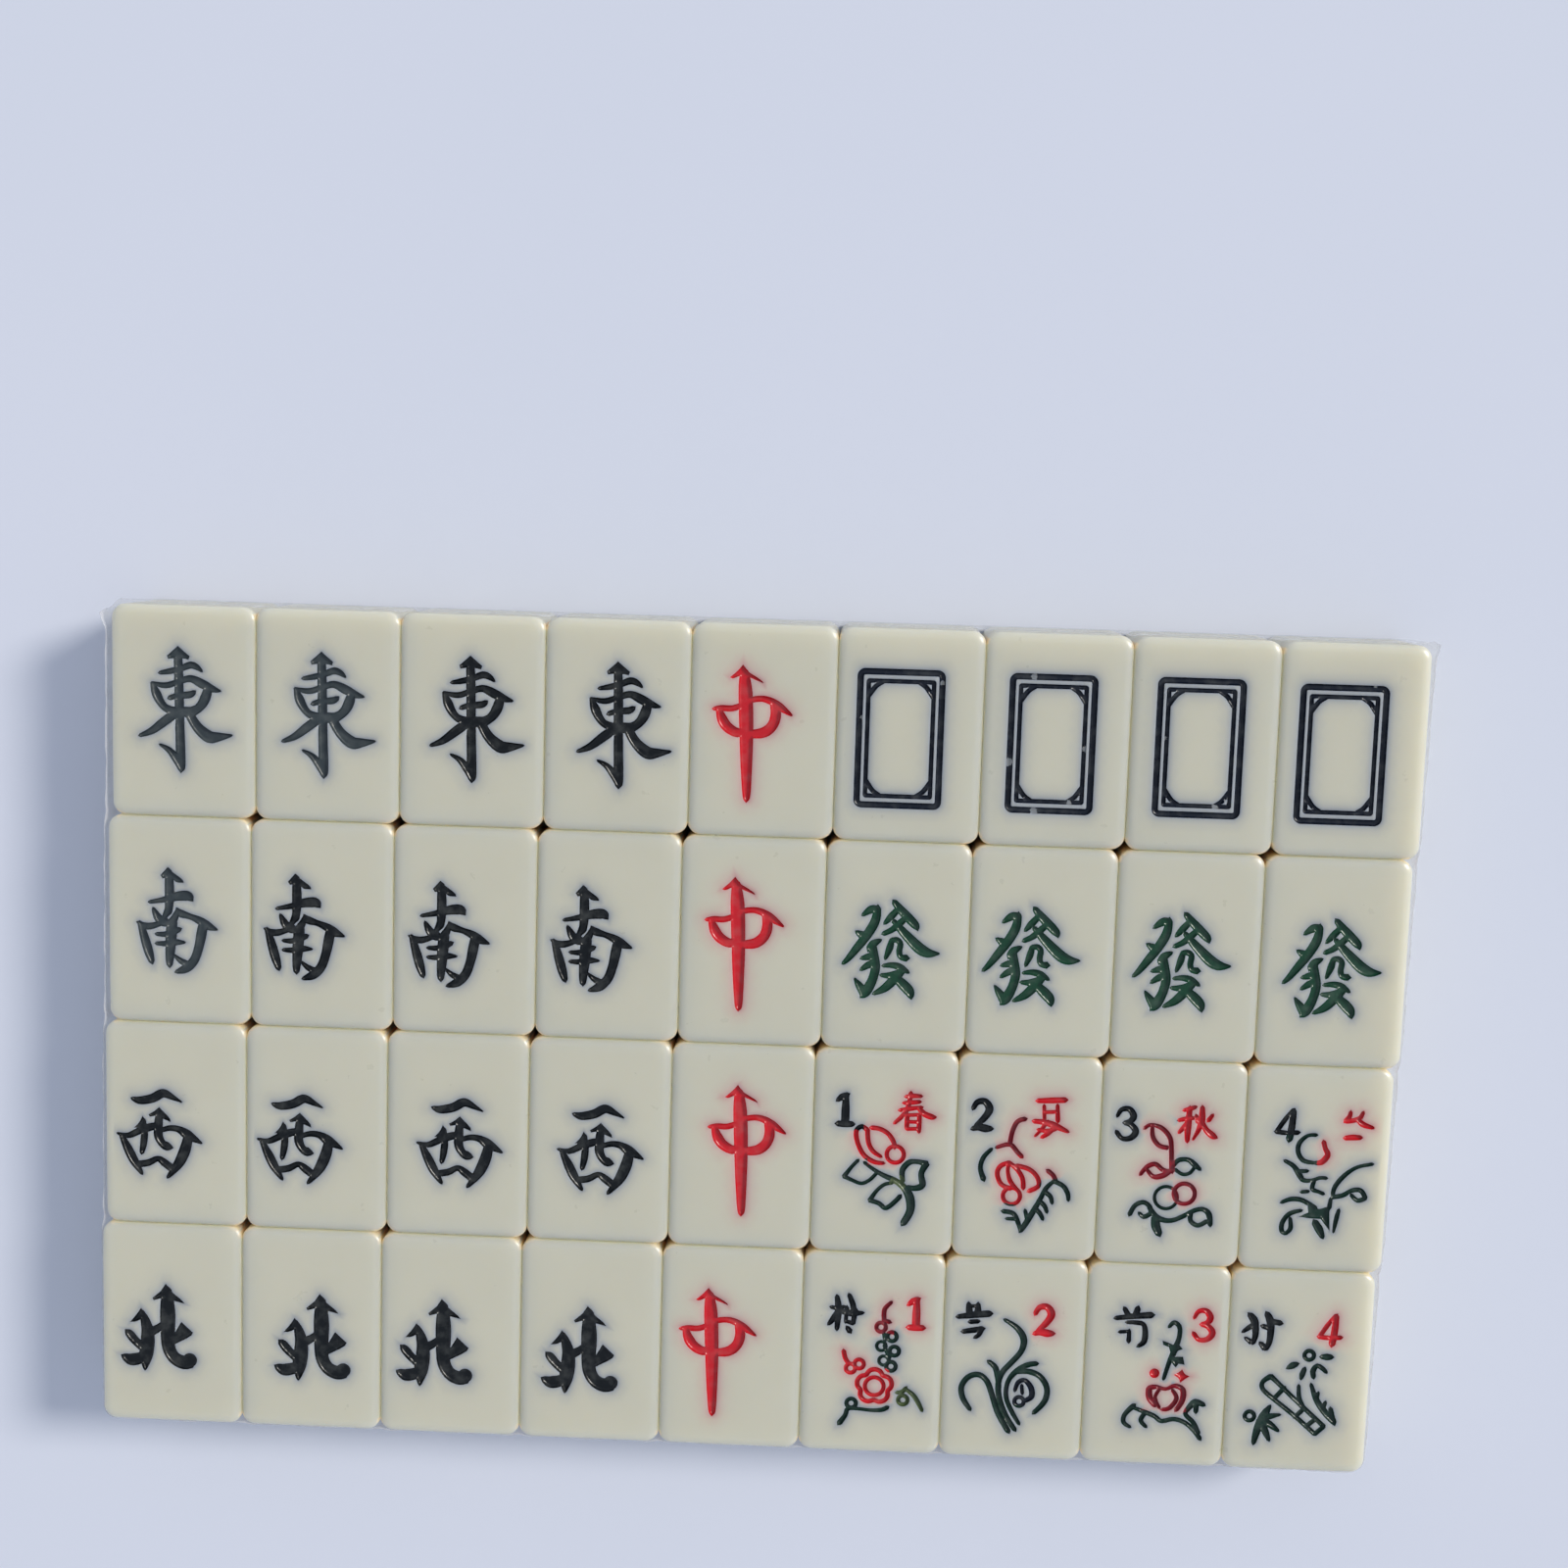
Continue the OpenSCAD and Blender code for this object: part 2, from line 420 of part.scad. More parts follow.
// The tiles, row by row from the top down and from left to right.
// Each tile has its node's name, then its signs with how far each stands from the middle of the face.
PACK = [
    [
        ["tile_east_1", [[east, [-3, 1]]]],
        ["tile_east_2", [[east, [-4, 0]]]],
        ["tile_east_3", [[east, [0, 1]]]],
        ["tile_east_4", [[east, [2, 0]]]],
        ["tile_red_1", [[red, [-17, 1]]]],
        ["tile_white_1", [[white, [-10, -3]]]],
        ["tile_white_2", [[white, [-5, -3]]]],
        ["tile_white_3", [[white, [-5, -2]]]],
        ["tile_white_4", [[white, [-11, -4]]]]
    ],
    [
        ["tile_south_1", [[south, [-2, 0]]]],
        ["tile_south_2", [[south, [-18, -2]]]],
        ["tile_south_3", [[south, [-16, -4]]]],
        ["tile_south_4", [[south, [-17, -3]]]],
        ["tile_red_2", [[red, [-14, 1]]]],
        ["tile_green_1", [[green, [-5, -3]]]],
        ["tile_green_2", [[green, [-10, -5]]]],
        ["tile_green_3", [[green, [-5, -5]]]],
        ["tile_green_4", [[green, [-1, -6]]]]
    ],
    [
        ["tile_west_1", [[west, [-17, -10]]]],
        ["tile_west_2", [[west, [-17, -10]]]],
        ["tile_west_3", [[west, [3, -7]]]],
        ["tile_west_4", [[west, [2, -8]]]],
        ["tile_red_3", [[red, [0, 0]]]],
        ["tile_spring", [[one, [-42, 46]], [spring_sign, [29, 46]], [spring_plant, [0, 0]]]],
        ["tile_summer", [[two, [-49, 45]], [summer_sign, [23, 45]], [summer_plant, [0, 0]]]],
        ["tile_autumn", [[three, [-49, 42]], [autumn_sign, [23, 44]], [autumn_plant, [0, 0]]]],
        ["tile_winter", [[four, [-31, 46]], [winter_sign, [40, 50]], [winter_plant, [0, 0]]]]
    ],
    [
        ["tile_north_1", [[north, [-15, -4]]]],
        ["tile_north_2", [[north, [1, -8]]]],
        ["tile_north_3", [[north, [-18, -8]]]],
        ["tile_north_4", [[north, [-12, -9]]]],
        ["tile_red_4", [[red, [-20, -2]]]],
        ["tile_plum", [[plum_sign, [-29, 44]], [one, [46, 47]], [plum_plant, [0, 0]]]],
        ["tile_orchid", [[orchid_sign, [-44, 42]], [two, [31, 45]], [orchid_plant, [0, 0]]]],
        ["tile_chrysanthemum", [
            [chrysanthemum_sign, [-25, 42]], [three, [48, 47]], [chrysanthemum_plant, [0, 0]]
        ]],
        ["tile_bamboo", [[bamboo_sign, [-41, 43]], [four, [32, 46]], [bamboo_plant, [0, 0]]]]
    ]
];
rows = len(PACK);
cols = len(PACK[0]);

// Half sizes of the block of tiles, and how far the outer rows stand from its middle
half_w = (cols * pitch_x - tile_gap) / 2;
half_h = (rows * pitch_y - tile_gap) / 2;
half_lean = row_step * (rows - 1) / 2;

// Ends of the film's folded corner, which passes the upper left tile's rounded edge with the film's gap
ear_top = -half_w + half_lean + corner_r - (corner_r + film_gap) * tan(ear_angle / 2);
ear_side = -half_w + half_lean - ear_out;
ear_drop = (ear_top - ear_side) * tan(ear_angle);

// Inside of the film in plan, anticlockwise from the lower left corner.
// It bridges straight across the stepped rows, so it stands off at the two upper corners.
film_inside = [
    [-half_w - half_lean - film_gap, -half_h - film_gap],
    [half_w - half_lean + film_gap, -half_h - film_gap],
    [half_w + half_lean + row_step + film_gap, half_h + film_gap],
    [ear_top, half_h + film_gap],
    [ear_side, half_h + film_gap - ear_drop],
    [-half_w - half_lean - film_gap, pitch_y - half_h]
];
film_outside = grown(film_inside, film_t);

// Middle of the pack in plan, which stands over the origin
middle = [
    (min([for (p = film_outside) p[0]]) + max([for (p = film_outside) p[0]])) / 2,
    (min([for (p = film_outside) p[1]]) + max([for (p = film_outside) p[1]])) / 2
];
film_top = film_t + tile_t - film_drop;

function unit(v) = v / norm(v);

// The point at share k of the way from b to c on a smooth curve through a, b, c and d
function between(a, b, c, d, k) =
    (2 * b + (c - a) * k + (2 * a - 5 * b + 4 * c - d) * k * k + (3 * b - a - 3 * c + d) * k * k * k) / 2;

function smoothed(p) = let (n = len(p) - 1) [
    for (i = [0:n - 1], s = [0:stroke_steps - 1])
        between(p[max(i - 1, 0)], p[i], p[i + 1], p[min(i + 2, n)], s / stroke_steps),
    p[n]
];

function heading(p, i) =
    let (d = p[min(i + 1, len(p) - 1)] - p[max(i - 1, 0)]) unit([d[0], d[1]]);

function half_width(point) = max(point[2], least_width) * stroke_weight / 2;

// One edge of a stroke: side is 1 for its left edge and -1 for its right edge
function edge(p, side) = [
    for (i = [0:len(p) - 1]) let (d = heading(p, i))
        [p[i][0], p[i][1]] + side * half_width(p[i]) * [-d[1], d[0]]
];

// The point that ends a stroke: way is -1 at its start and 1 at its finish
function tip(p, way) = let (i = way < 0 ? 0 : len(p) - 1)
    [p[i][0], p[i][1]] + way * half_width(p[i]) * heading(p, i);

function reversed(list) = [for (i = [len(list) - 1:-1:0]) list[i]];

function stroke_outline(points) = let (p = smoothed(points))
    concat(edge(p, 1), [tip(p, 1)], reversed(edge(p, -1)), [tip(p, -1)]);

// Outward normal of the side from a to b of an anticlockwise outline
function outward(a, b) = let (d = unit(b - a)) [d[1], -d[0]];

// An anticlockwise outline with each side moved outwards by a distance
function grown(p, by) = let (n = len(p)) [
    for (i = [0:n - 1])
        let (before = outward(p[(i + n - 1) % n], p[i]), after = outward(p[i], p[(i + 1) % n]))
            p[i] + by * (before + after) / (1 + before * after)
];

// Upright profile of a tile's half, from its middle out to the side, with rounded rims
module half_profile(reach) {
    intersection() {
        square([reach, tile_t]);
        union() {
            square([reach - rim_r, tile_t]);
            translate([0, rim_r]) square([reach, tile_t - 2 * rim_r]);
            for (z = [rim_r, tile_t - rim_r]) translate([reach - rim_r, z]) circle(rim_r);
        }
    }
}

// A plain tile with its back on Z = 0
module blank() {
    flat_w = tile_w - 2 * corner_r;
    flat_h = tile_h - 2 * corner_r;
    for (side = [0, 180]) rotate(side) {
        translate([-flat_w / 2, 0, 0])
            rotate([90, 0, 90]) linear_extrude(flat_w) half_profile(tile_h / 2);
        translate([flat_w / 2, flat_h / 2, 0])
            rotate([90, 0, 0]) linear_extrude(flat_h) half_profile(corner_r);
        for (across = [-1, 1]) translate([across * flat_w / 2, flat_h / 2, 0])
            rotate(across > 0 ? 0 : 90) rotate_extrude(angle = 90) half_profile(corner_r);
    }
}

module rounded_plate(size, r) {
    square([size[0] - 2 * r, size[1]], center = true);
    square([size[0], size[1] - 2 * r], center = true);
    for (x = [-1, 1], y = [-1, 1]) translate([x * (size[0] / 2 - r), y * (size[1] / 2 - r)]) circle(r);
}

module frame_line(size, line, r) {
    difference() {
        rounded_plate(size, r);
        rounded_plate(size - 2 * [line, line], max(r - line, line / 4));
    }
}

module frame_sign() {
    frame_line(frame_outer, frame_outer_line, frame_outer_r);
    frame_line(frame_inner, frame_inner_line, frame_inner_r);
}

module ring(point) {
    translate([point[0], point[1]]) difference() {
        circle(point[2] + point[3] / 2);
        if (point[2] > 0) circle(point[2] - point[3] / 2);
    }
}

module sign(strokes) {
    for (s = strokes) {
        if (len(s) == 1) ring(s[0]);
        else if (len(s[0]) == 2) polygon(s);
        else polygon(stroke_outline(s));
    }
    if (strokes == white) frame_sign();
}

// The tile at a row and a column of the pack
module tile(row, col) {
    x = (col - (cols - 1) / 2) * pitch_x + ((rows - 1) / 2 - row) * row_step;
    y = ((rows - 1) / 2 - row) * pitch_y;
    color("ivory") translate([x - middle[0], y - middle[1], film_t]) difference() {
        blank();
        translate([0, 0, tile_t - sign_depth])
            scale(sign_grid) linear_extrude((sign_depth + cut_over) / sign_grid)
                for (part = PACK[row][col][1]) translate(part[1]) sign(part[0]);
    }
}

// The film: a sheet under the backs with walls round the block, cut open along the faces
module film_wrap() {
    color("whitesmoke", 0.4) translate([-middle[0], -middle[1], 0]) {
        linear_extrude(film_t) polygon(film_outside);
        translate([0, 0, film_t]) linear_extrude(film_top - film_t) difference() {
            polygon(film_outside);
            polygon(film_inside);
        }
    }
}

film_wrap();
for (row = [0:rows - 1], col = [0:cols - 1])
    tile(row, col);
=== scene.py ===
import math

import bmesh
import bpy
import numpy as np
from mathutils import Matrix, Vector
from mathutils.geometry import delaunay_2d_cdt
from mathutils.kdtree import KDTree


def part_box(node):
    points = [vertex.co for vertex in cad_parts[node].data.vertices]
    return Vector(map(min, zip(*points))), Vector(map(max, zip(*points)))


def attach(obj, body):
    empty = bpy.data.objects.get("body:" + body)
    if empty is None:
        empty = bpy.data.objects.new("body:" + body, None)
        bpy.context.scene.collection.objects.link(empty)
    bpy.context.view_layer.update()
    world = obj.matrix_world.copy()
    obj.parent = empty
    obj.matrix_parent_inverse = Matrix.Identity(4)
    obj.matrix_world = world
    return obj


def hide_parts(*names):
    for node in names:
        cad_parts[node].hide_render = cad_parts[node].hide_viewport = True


MM = 0.001

# Tile edges, in millimetres
CORNER_R = 1.4
# How far in and how far down the rounded rims of the face and the back reach
RIM_RUN = 1.0
RIM_DROP = 0.45
CORNER_STEPS = 10
RIM_STEPS = 8
EDGE_STEP = 1.1
FACE_STEP = 0.9
# How far the polished face falls away towards its rim
FACE_CROWN = 0.09
CROWN_POWER = 4
# How far the sides swell, so that neighbours all but touch
SIDE_SWELL = 0.042

# Engraving, in millimetres
LEAST_CUT = 0.15
WALL_RUN = 0.28
# How far the paint laps over the worn edge of the engraving
PAINT_LAP = 0.035
# Rings of points beside the painted edge: how far inside it, and how far apart along it
RINGS = ((0.045, 0.16), (0.13, 0.16), (-0.12, 0.2), (-0.3, 0.3), (-0.6, 0.45))
FLOOR_STEP = 0.17
CLEAR_OF_SIGN = 0.85
SAMPLE_STEP = 0.03
SHARP_TURN = math.radians(50)
# A face whose normal rises at least this much lies level
LEVEL = 0.99
# The share of its offset from the sign that a ring's point has to keep
RING_KEPT = 0.8
# How much of a corner's reach is kept at least, so that sharp corners of a widened outline are cut short
LEAST_MITRE = 0.8
# Lengths that count as none, in metres, in millimetres of the plan and in a division
WELD = 1e-7
PLAN_WELD = 1e-6
TINY = 1e-9
# Digits of a length in millimetres by which the same point is found again
PLAN_DIGITS = 4
FILM_DIGITS = 3
# Painted shade beside the signs, standing in for light the resin loses into the paint: how strongly, and
# how far that reaches
SIGN_SHADE_STRENGTH = 0.5
SIGN_SHADE_REACH = 0.5

# Painted light: the resin is coloured lighter and warmer where tiles meet, standing in for light passing
# between neighbours: how strongly along edges and in corners, and how far down
PAINTED_EDGE_LIGHT = 0.6
PAINTED_EDGE_LIGHT_DOWN = 1.0
PAINTED_NOOK_LIGHT = 0.95
PAINTED_NOOK_LIGHT_DOWN = 9.0
# How far past its own edge a tile looks for its neighbour, as a share of its size
LOOK_OUT = 1.06

# Film, in millimetres
FILM_STEP = 0.5
FILM_ROWS = 14
FILM_CORNER_R = 1.5
FILM_PINCH_R = 0.25
FILM_PINCH_OUT = 0.35
FILM_PINCH_RUN = 0.9
FILM_FOOT_R = 0.9
FILM_FOOT_STEPS = 5
FILM_WALL = 0.06
FILM_SAG = 0.35
FILM_CURL = 0.12
FILM_CURL_POWER = 6
# How soon above its foot the film comes loose, and how far it creases where tight and where slack
FILM_LOOSENS = 3
FILM_CREASE = 0.03
FILM_CREASE_SLACK = 0.08
FILM_CREASE_WIDTH = 1.9
FILM_CREASE_HEIGHT = 5.5
# How milky the film is where it stands slack, partly milkiness and partly painted sheen, and how strong and
# how sharp the painted highlight along its cut edge is
FILM_SLACK_HAZE_AND_SHEEN = 0.12
FILM_EDGE_HIGHLIGHT = 0.18
FILM_EDGE_POWER = 24
# Waves of the film's cut edge: length, height and start
FILM_WAVES = ((7.3, 0.1, 0.4), (3.1, 0.07, 1.3), (1.27, 0.03, 2.1))

# Patterns of the finishes: how large and how deep their patches are, in millimetres
CLOUD_SIZE = 7
GLOSS_SIZE = 1.6
PEEL_SIZE = 0.9
PEEL_DEPTH = 0.01
THIN_SIZE = 1.4
RIPPLE_SIZE = 0.35
RIPPLE_DEPTH = 0.03
STREAK_SIZE = 2.2
PAPER_TONE_SIZE = 90
# How far thin paint fades towards the grey under it
PAINT_FADE = 0.18

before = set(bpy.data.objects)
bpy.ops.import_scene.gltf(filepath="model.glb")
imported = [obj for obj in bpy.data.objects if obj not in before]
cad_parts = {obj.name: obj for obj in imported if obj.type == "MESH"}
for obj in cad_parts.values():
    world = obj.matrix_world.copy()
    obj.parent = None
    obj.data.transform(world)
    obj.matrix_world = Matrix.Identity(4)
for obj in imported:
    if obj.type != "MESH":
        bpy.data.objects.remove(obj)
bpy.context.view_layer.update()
TILES = sorted(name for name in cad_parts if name.startswith("tile_"))


def plan_box(name):
    """Middle and half size of a node in plan, in millimetres."""
    low, high = (np.array(corner)[:2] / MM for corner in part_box(name))
    return (low + high) / 2, (high - low) / 2


PLACES = {name: plan_box(name) for name in TILES}


# Colours and nodes

def linear(code):
    """An sRGB hex colour as linear RGBA."""
    parts = [int(code[i:i + 2], 16) / 255 for i in (1, 3, 5)]
    return [p / 12.92 if p <= 0.04045 else ((p + 0.055) / 1.055) ** 2.4 for p in parts] + [1.0]


def add(tree, kind, links=None, **settings):
    """Adds a node, sets its options, then links each named input or gives it a value."""
    node = tree.nodes.new(kind)
    for name, value in settings.items():
        setattr(node, name, value)
    for socket, value in (links or {}).items():
        if isinstance(value, bpy.types.NodeSocket):
            tree.links.new(value, node.inputs[socket])
        else:
            node.inputs[socket].default_value = value
    return node


def new_material(name):
    """An empty material with its node tree and its Principled shader, already joined to the output."""
    material = bpy.data.materials.new(name)
    material.use_nodes = True
    tree = material.node_tree
    tree.nodes.clear()
    shader = add(tree, "ShaderNodeBsdfPrincipled")
    add(tree, "ShaderNodeOutputMaterial", {"Surface": shader.outputs["BSDF"]})
    return material, tree, shader


def noise(tree, place, size, detail):
    """A cloudy pattern with patches of about a size in millimetres."""
    made = add(tree, "ShaderNodeTexNoise", {"Vector": place, "Scale": 1 / (size * MM), "Detail": detail})
    return made.outputs["Fac"]


def blend(tree, share, first, second):
    """A mix of two colours by a share."""
    made = add(tree, "ShaderNodeMix", {"Factor": share, "A": first, "B": second}, data_type="RGBA")
    return made.outputs["Result"]


def attribute(tree, name):
    """The value that a mesh keeps under a name at each of its points."""
    return add(tree, "ShaderNodeAttribute", attribute_name=name).outputs["Fac"]


def ivory_resin():
    """Cast melamine resin, tumbled: a soft gloss over a slightly translucent, faintly clouded body.

    Painted shade beside the signs stands in for light the resin loses into the paint, bluish by dark paint
    and pink by red paint, and painted light makes the edges that meet other tiles lighter and warmer."""
    material, tree, shader = new_material("ivory_resin_tumbled")
    place = add(tree, "ShaderNodeTexCoord").outputs["Object"]
    clouds = noise(tree, place, CLOUD_SIZE, 3.0)
    body = blend(tree, clouds, linear("#CDCAB7"), linear("#D2CFBC"))
    # Painted shade, bluish, beside the dark signs
    cool = blend(tree, attribute(tree, "painted_sign_shade"), body, linear("#466491"))
    # Painted shade, pink, beside the red signs
    warm = blend(tree, attribute(tree, "painted_pink_sign_shade"), cool, linear("#C3556E"))
    # Painted light along the edges that meet other tiles
    lit = blend(tree, attribute(tree, "painted_edge_light"), warm, linear("#EFE6B4"))
    # Painted warm light down the corners that meet other tiles
    amber = blend(tree, attribute(tree, "painted_nook_light"), lit, linear("#FFDDB0"))
    tree.links.new(amber, shader.inputs["Base Color"])
    haze = noise(tree, place, GLOSS_SIZE, 4.0)
    gloss = add(tree, "ShaderNodeMapRange", {"Value": haze, "To Min": 0.24, "To Max": 0.36})
    tree.links.new(gloss.outputs["Result"], shader.inputs["Roughness"])
    peel = noise(tree, place, PEEL_SIZE, 2.0)
    bump = add(tree, "ShaderNodeBump", {"Height": peel, "Strength": 0.25, "Distance": PEEL_DEPTH * MM})
    tree.links.new(bump.outputs["Normal"], shader.inputs["Normal"])
    shader.inputs["IOR"].default_value = 1.6
    shader.inputs["Subsurface Weight"].default_value = 0.95
    shader.inputs["Subsurface Radius"].default_value = (1.0, 0.88, 0.7)
    shader.inputs["Subsurface Scale"].default_value = 5.0 * MM
    return material


def enamel(name, code, roughness):
    """Gloss paint wiped into the engraving: an even colour that thins here and there, with a soft shine."""
    material, tree, shader = new_material(name)
    place = add(tree, "ShaderNodeTexCoord").outputs["Object"]
    thin = noise(tree, place, THIN_SIZE, 4.0)
    spread = add(tree, "ShaderNodeMapRange", {"Value": thin, "From Min": 0.45, "From Max": 0.8})
    deep = linear(code)
    pale = [(1 - PAINT_FADE) * c + PAINT_FADE * grey for c, grey in zip(deep, linear("#8C8F8A"))]
    paint = blend(tree, spread.outputs["Result"], deep, pale)
    tree.links.new(paint, shader.inputs["Base Color"])
    ripple = noise(tree, place, RIPPLE_SIZE, 2.0)
    bump = add(tree, "ShaderNodeBump", {"Height": ripple, "Strength": 0.5, "Distance": RIPPLE_DEPTH * MM})
    tree.links.new(bump.outputs["Normal"], shader.inputs["Normal"])
    shader.inputs["Roughness"].default_value = roughness
    return material


def clear_film():
    """Shrink film: clear and glossy, milky and with a painted sheen where it stands slack, and with a
    painted highlight along its cut edge.
    """
    material, tree, shader = new_material("shrink_film_clear")
    place = add(tree, "ShaderNodeTexCoord").outputs["Object"]
    stretch = add(tree, "ShaderNodeMapping", {"Vector": place, "Scale": (1.0, 1.0, 0.35)})
    streaks = noise(tree, stretch.outputs["Vector"], STREAK_SIZE, 5.0)
    milk = add(tree, "ShaderNodeMapRange", {
        "Value": streaks, "From Min": 0.4, "From Max": 0.75, "To Min": 0.06, "To Max": 0.16})
    # The haze attribute holds the painted sheen of the slack film and the painted highlight along its cut
    # edge
    cover = add(tree, "ShaderNodeMath", {
        0: milk.outputs["Result"], 1: attribute(tree, "haze")}, operation="ADD", use_clamp=True)
    tree.links.new(cover.outputs["Value"], shader.inputs["Alpha"])
    shader.inputs["Base Color"].default_value = linear("#F1F2F6")
    shader.inputs["Roughness"].default_value = 0.1
    shader.inputs["IOR"].default_value = 1.5
    return material


IVORY = ivory_resin()
FILM = clear_film()
PAINTS = {
    "black": enamel("enamel_black", "#0A1014", 0.26),
    "worn_black": enamel("enamel_black_worn", "#353E42", 0.35),
    "ink": enamel("enamel_blue_black", "#121A28", 0.26),
    "red": enamel("enamel_red", "#C51A26", 0.26),
    "maroon": enamel("enamel_maroon", "#8A1A28", 0.28),
    "green": enamel("enamel_green", "#18432F", 0.26),
    "deep_green": enamel("enamel_deep_green", "#173229", 0.26),
    "olive": enamel("enamel_olive", "#4B5B36", 0.3),
}
PAINT_NAMES = list(PAINTS)
REDS = [PAINT_NAMES.index("red"), PAINT_NAMES.index("maroon")]
BARE = -1


# Which paint is in which part of a sign. Areas are in millimetres from the middle of the tile's face.

def box(x0, y0, x1, y1):
    """An upright rectangle as a test of points."""
    return lambda p: (p[:, 0] > x0) & (p[:, 0] < x1) & (p[:, 1] > y0) & (p[:, 1] < y1)


def disc(x, y, r):
    """A round area as a test of points."""
    return lambda p: np.hypot(p[:, 0] - x, p[:, 1] - y) < r


# A sign has its plain paint where no area says otherwise. Later areas cover earlier ones.
PLAIN_PAINT = {"east": "black", "south": "black", "west": "black", "north": "black",
               "red": "red", "green": "green", "white": "ink"}
WHOLE_FACE = box(-7, -9, 7, 9)
SEASON_MARKS = [("black", box(-7, 2.3, -2.2, 8)), ("red", box(0.3, 2.2, 7, 8))]
PAINT_AREAS = {
    "tile_east_1": [("worn_black", WHOLE_FACE)],
    "tile_east_2": [("worn_black", WHOLE_FACE)],
    "tile_south_1": [("worn_black", WHOLE_FACE)],
    "tile_spring": [
        ("red", box(-3.5, -0.75, 1.2, 3.2)), ("red", box(-1.7, -1.4, 1.2, 0)),
        ("red", disc(1.2, -0.1, 1.25)), ("olive", disc(1.6, -3.3, 0.9)), *SEASON_MARKS],
    "tile_summer": [
        ("maroon", box(-3.3, 0, 0.2, 4.6)), ("red", disc(-1.2, -2.4, 2.7)),
        ("maroon", box(2, -2.2, 3.2, -1)), *SEASON_MARKS],
    "tile_autumn": [
        ("maroon", box(-3.4, -1.7, 0.4, 4.5)), ("deep_green", disc(-0.4, -3.6, 1.5)),
        ("maroon", disc(1.5, -3.1, 1.4)), ("black", box(-7, 2.3, -3.3, 8)), ("red", box(0.4, 2.2, 7, 8))],
    "tile_winter": [
        ("red", box(0.1, 0.4, 1.6, 3.6)), ("black", box(-7, 3.6, -1.6, 8)), ("red", box(2.4, 2.6, 7, 8))],
    "tile_plum": [
        ("maroon", box(0, 2.2, 2.3, 6.3)), ("red", box(-3.6, -2.5, -0.5, 0.6)),
        ("red", disc(0.4, -3.6, 2.25)), ("olive", box(2.5, -6.5, 6, -3.4)),
        ("black", box(-7, 2.0, -0.6, 8)), ("red", box(3.0, 2.4, 7, 8))],
    "tile_orchid": [
        ("black", box(-7, 2.0, -2.2, 8)), ("red", box(1.8, 2.6, 7, 8)), ("ink", disc(1.0, -3.6, 1.6))],
    "tile_chrysanthemum": [
        ("red", disc(-0.1, -0.8, 0.8)), ("red", disc(2.8, -1.0, 1.1)),
        ("maroon", box(-1.2, -5.1, 3.5, -2.0)), ("black", box(-7, 2.0, -0.5, 8)),
        ("red", box(3.3, 2.6, 7, 8))],
    "tile_bamboo": [("black", box(-7, 2.0, -1.8, 8)), ("red", box(1.6, 2.6, 7, 8))],
}
# Spots where the paint has come out of the engraving
PAINT_CHIPS = {
    "tile_white_1": [(3.2, 5.6, 0.22), (-4.9, 1.8, 0.2)],
    "tile_white_2": [
        (-2.5, 6.6, 0.3), (-4.8, -2.3, 0.4), (-2.0, -7.3, 0.35), (3.0, -0.7, 0.3), (1.6, -6.3, 0.25)],
    "tile_white_3": [(1.5, -6.3, 0.3), (2.6, -5.6, 0.22), (-4.0, 0.7, 0.18)],
    "tile_white_4": [(2.0, 6.7, 0.16)],
}


def paint_numbers(name, points):
    """The number of the paint at each point of a tile's signs, or BARE where none is left."""
    kind = name.split("_")[1]
    paint = np.full(len(points), PAINT_NAMES.index(PLAIN_PAINT.get(kind, "deep_green")))
    for colour, inside in PAINT_AREAS.get(name, []):
        paint[inside(points)] = PAINT_NAMES.index(colour)
    for x, y, r in PAINT_CHIPS.get(name, []):
        paint[disc(x, y, r)(points)] = BARE
    return paint


# Tiles

def sign_loops(node, middle):
    """Outlines of a tile's engraved signs, in millimetres from the middle of its face, and their depth.

    Each outline runs with the engraving on its left."""
    mesh = bmesh.new()
    mesh.from_mesh(node.data)
    bmesh.ops.remove_doubles(mesh, verts=mesh.verts, dist=WELD)
    top = max(v.co.z for v in mesh.verts)
    level = [f for f in mesh.faces if f.normal.z > LEVEL]
    floor = {f for f in level if top - f.calc_center_median().z > LEAST_CUT * MM}
    depth = max(top - f.calc_center_median().z for f in floor)
    following = {}
    for face in floor:
        for corner in face.loops:
            if sum(f in floor for f in corner.edge.link_faces) == 1:
                following.setdefault(corner.vert, []).append(corner.link_loop_next.vert)
    loops = []
    while following:
        start = next(iter(following))
        loop, vert = [], start
        while vert in following:
            loop.append(((vert.co.x - middle.x) / MM, (vert.co.y - middle.y) / MM))
            ahead = following[vert].pop()
            if not following[vert]:
                del following[vert]
            vert = ahead
        loops.append(np.array(loop))
    mesh.free()
    return loops, depth


def eased(loop):
    """An outline with its gentle bends rounded and its sharp corners kept."""
    made = []
    for before, point, after in zip(np.roll(loop, 1, 0), loop, np.roll(loop, -1, 0)):
        a, b = point - before, after - point
        turn = abs(math.atan2(a[0] * b[1] - a[1] * b[0], a @ b))
        made += [point] if turn > SHARP_TURN else [point - a / 4, point + b / 4]
    return np.array(made)


def left_of(run):
    """The unit normal to the left of each run."""
    return np.stack((-run[:, 1], run[:, 0]), 1) / np.maximum(np.hypot(*run.T), TINY)[:, None]


def widened(loop, by):
    """An outline moved to its right, with the corners cut short so that none runs far out."""
    ahead = left_of(np.roll(loop, -1, 0) - loop)
    both = ahead + np.roll(ahead, 1, 0)
    return loop - by * both / np.maximum((both * both).sum(1) / 2, LEAST_MITRE)[:, None]


def along(loops, offset, step):
    """Points beside the outlines at a distance to their left, about a step apart."""
    made = []
    for loop in loops:
        run = np.roll(loop, -1, 0) - loop
        side = left_of(run)
        for a, r, s in zip(loop, run, side):
            count = max(1, round(math.hypot(*r) / step))
            made += [a + r * (k + 0.5) / count + s * offset for k in range(count)]
    return np.array(made)


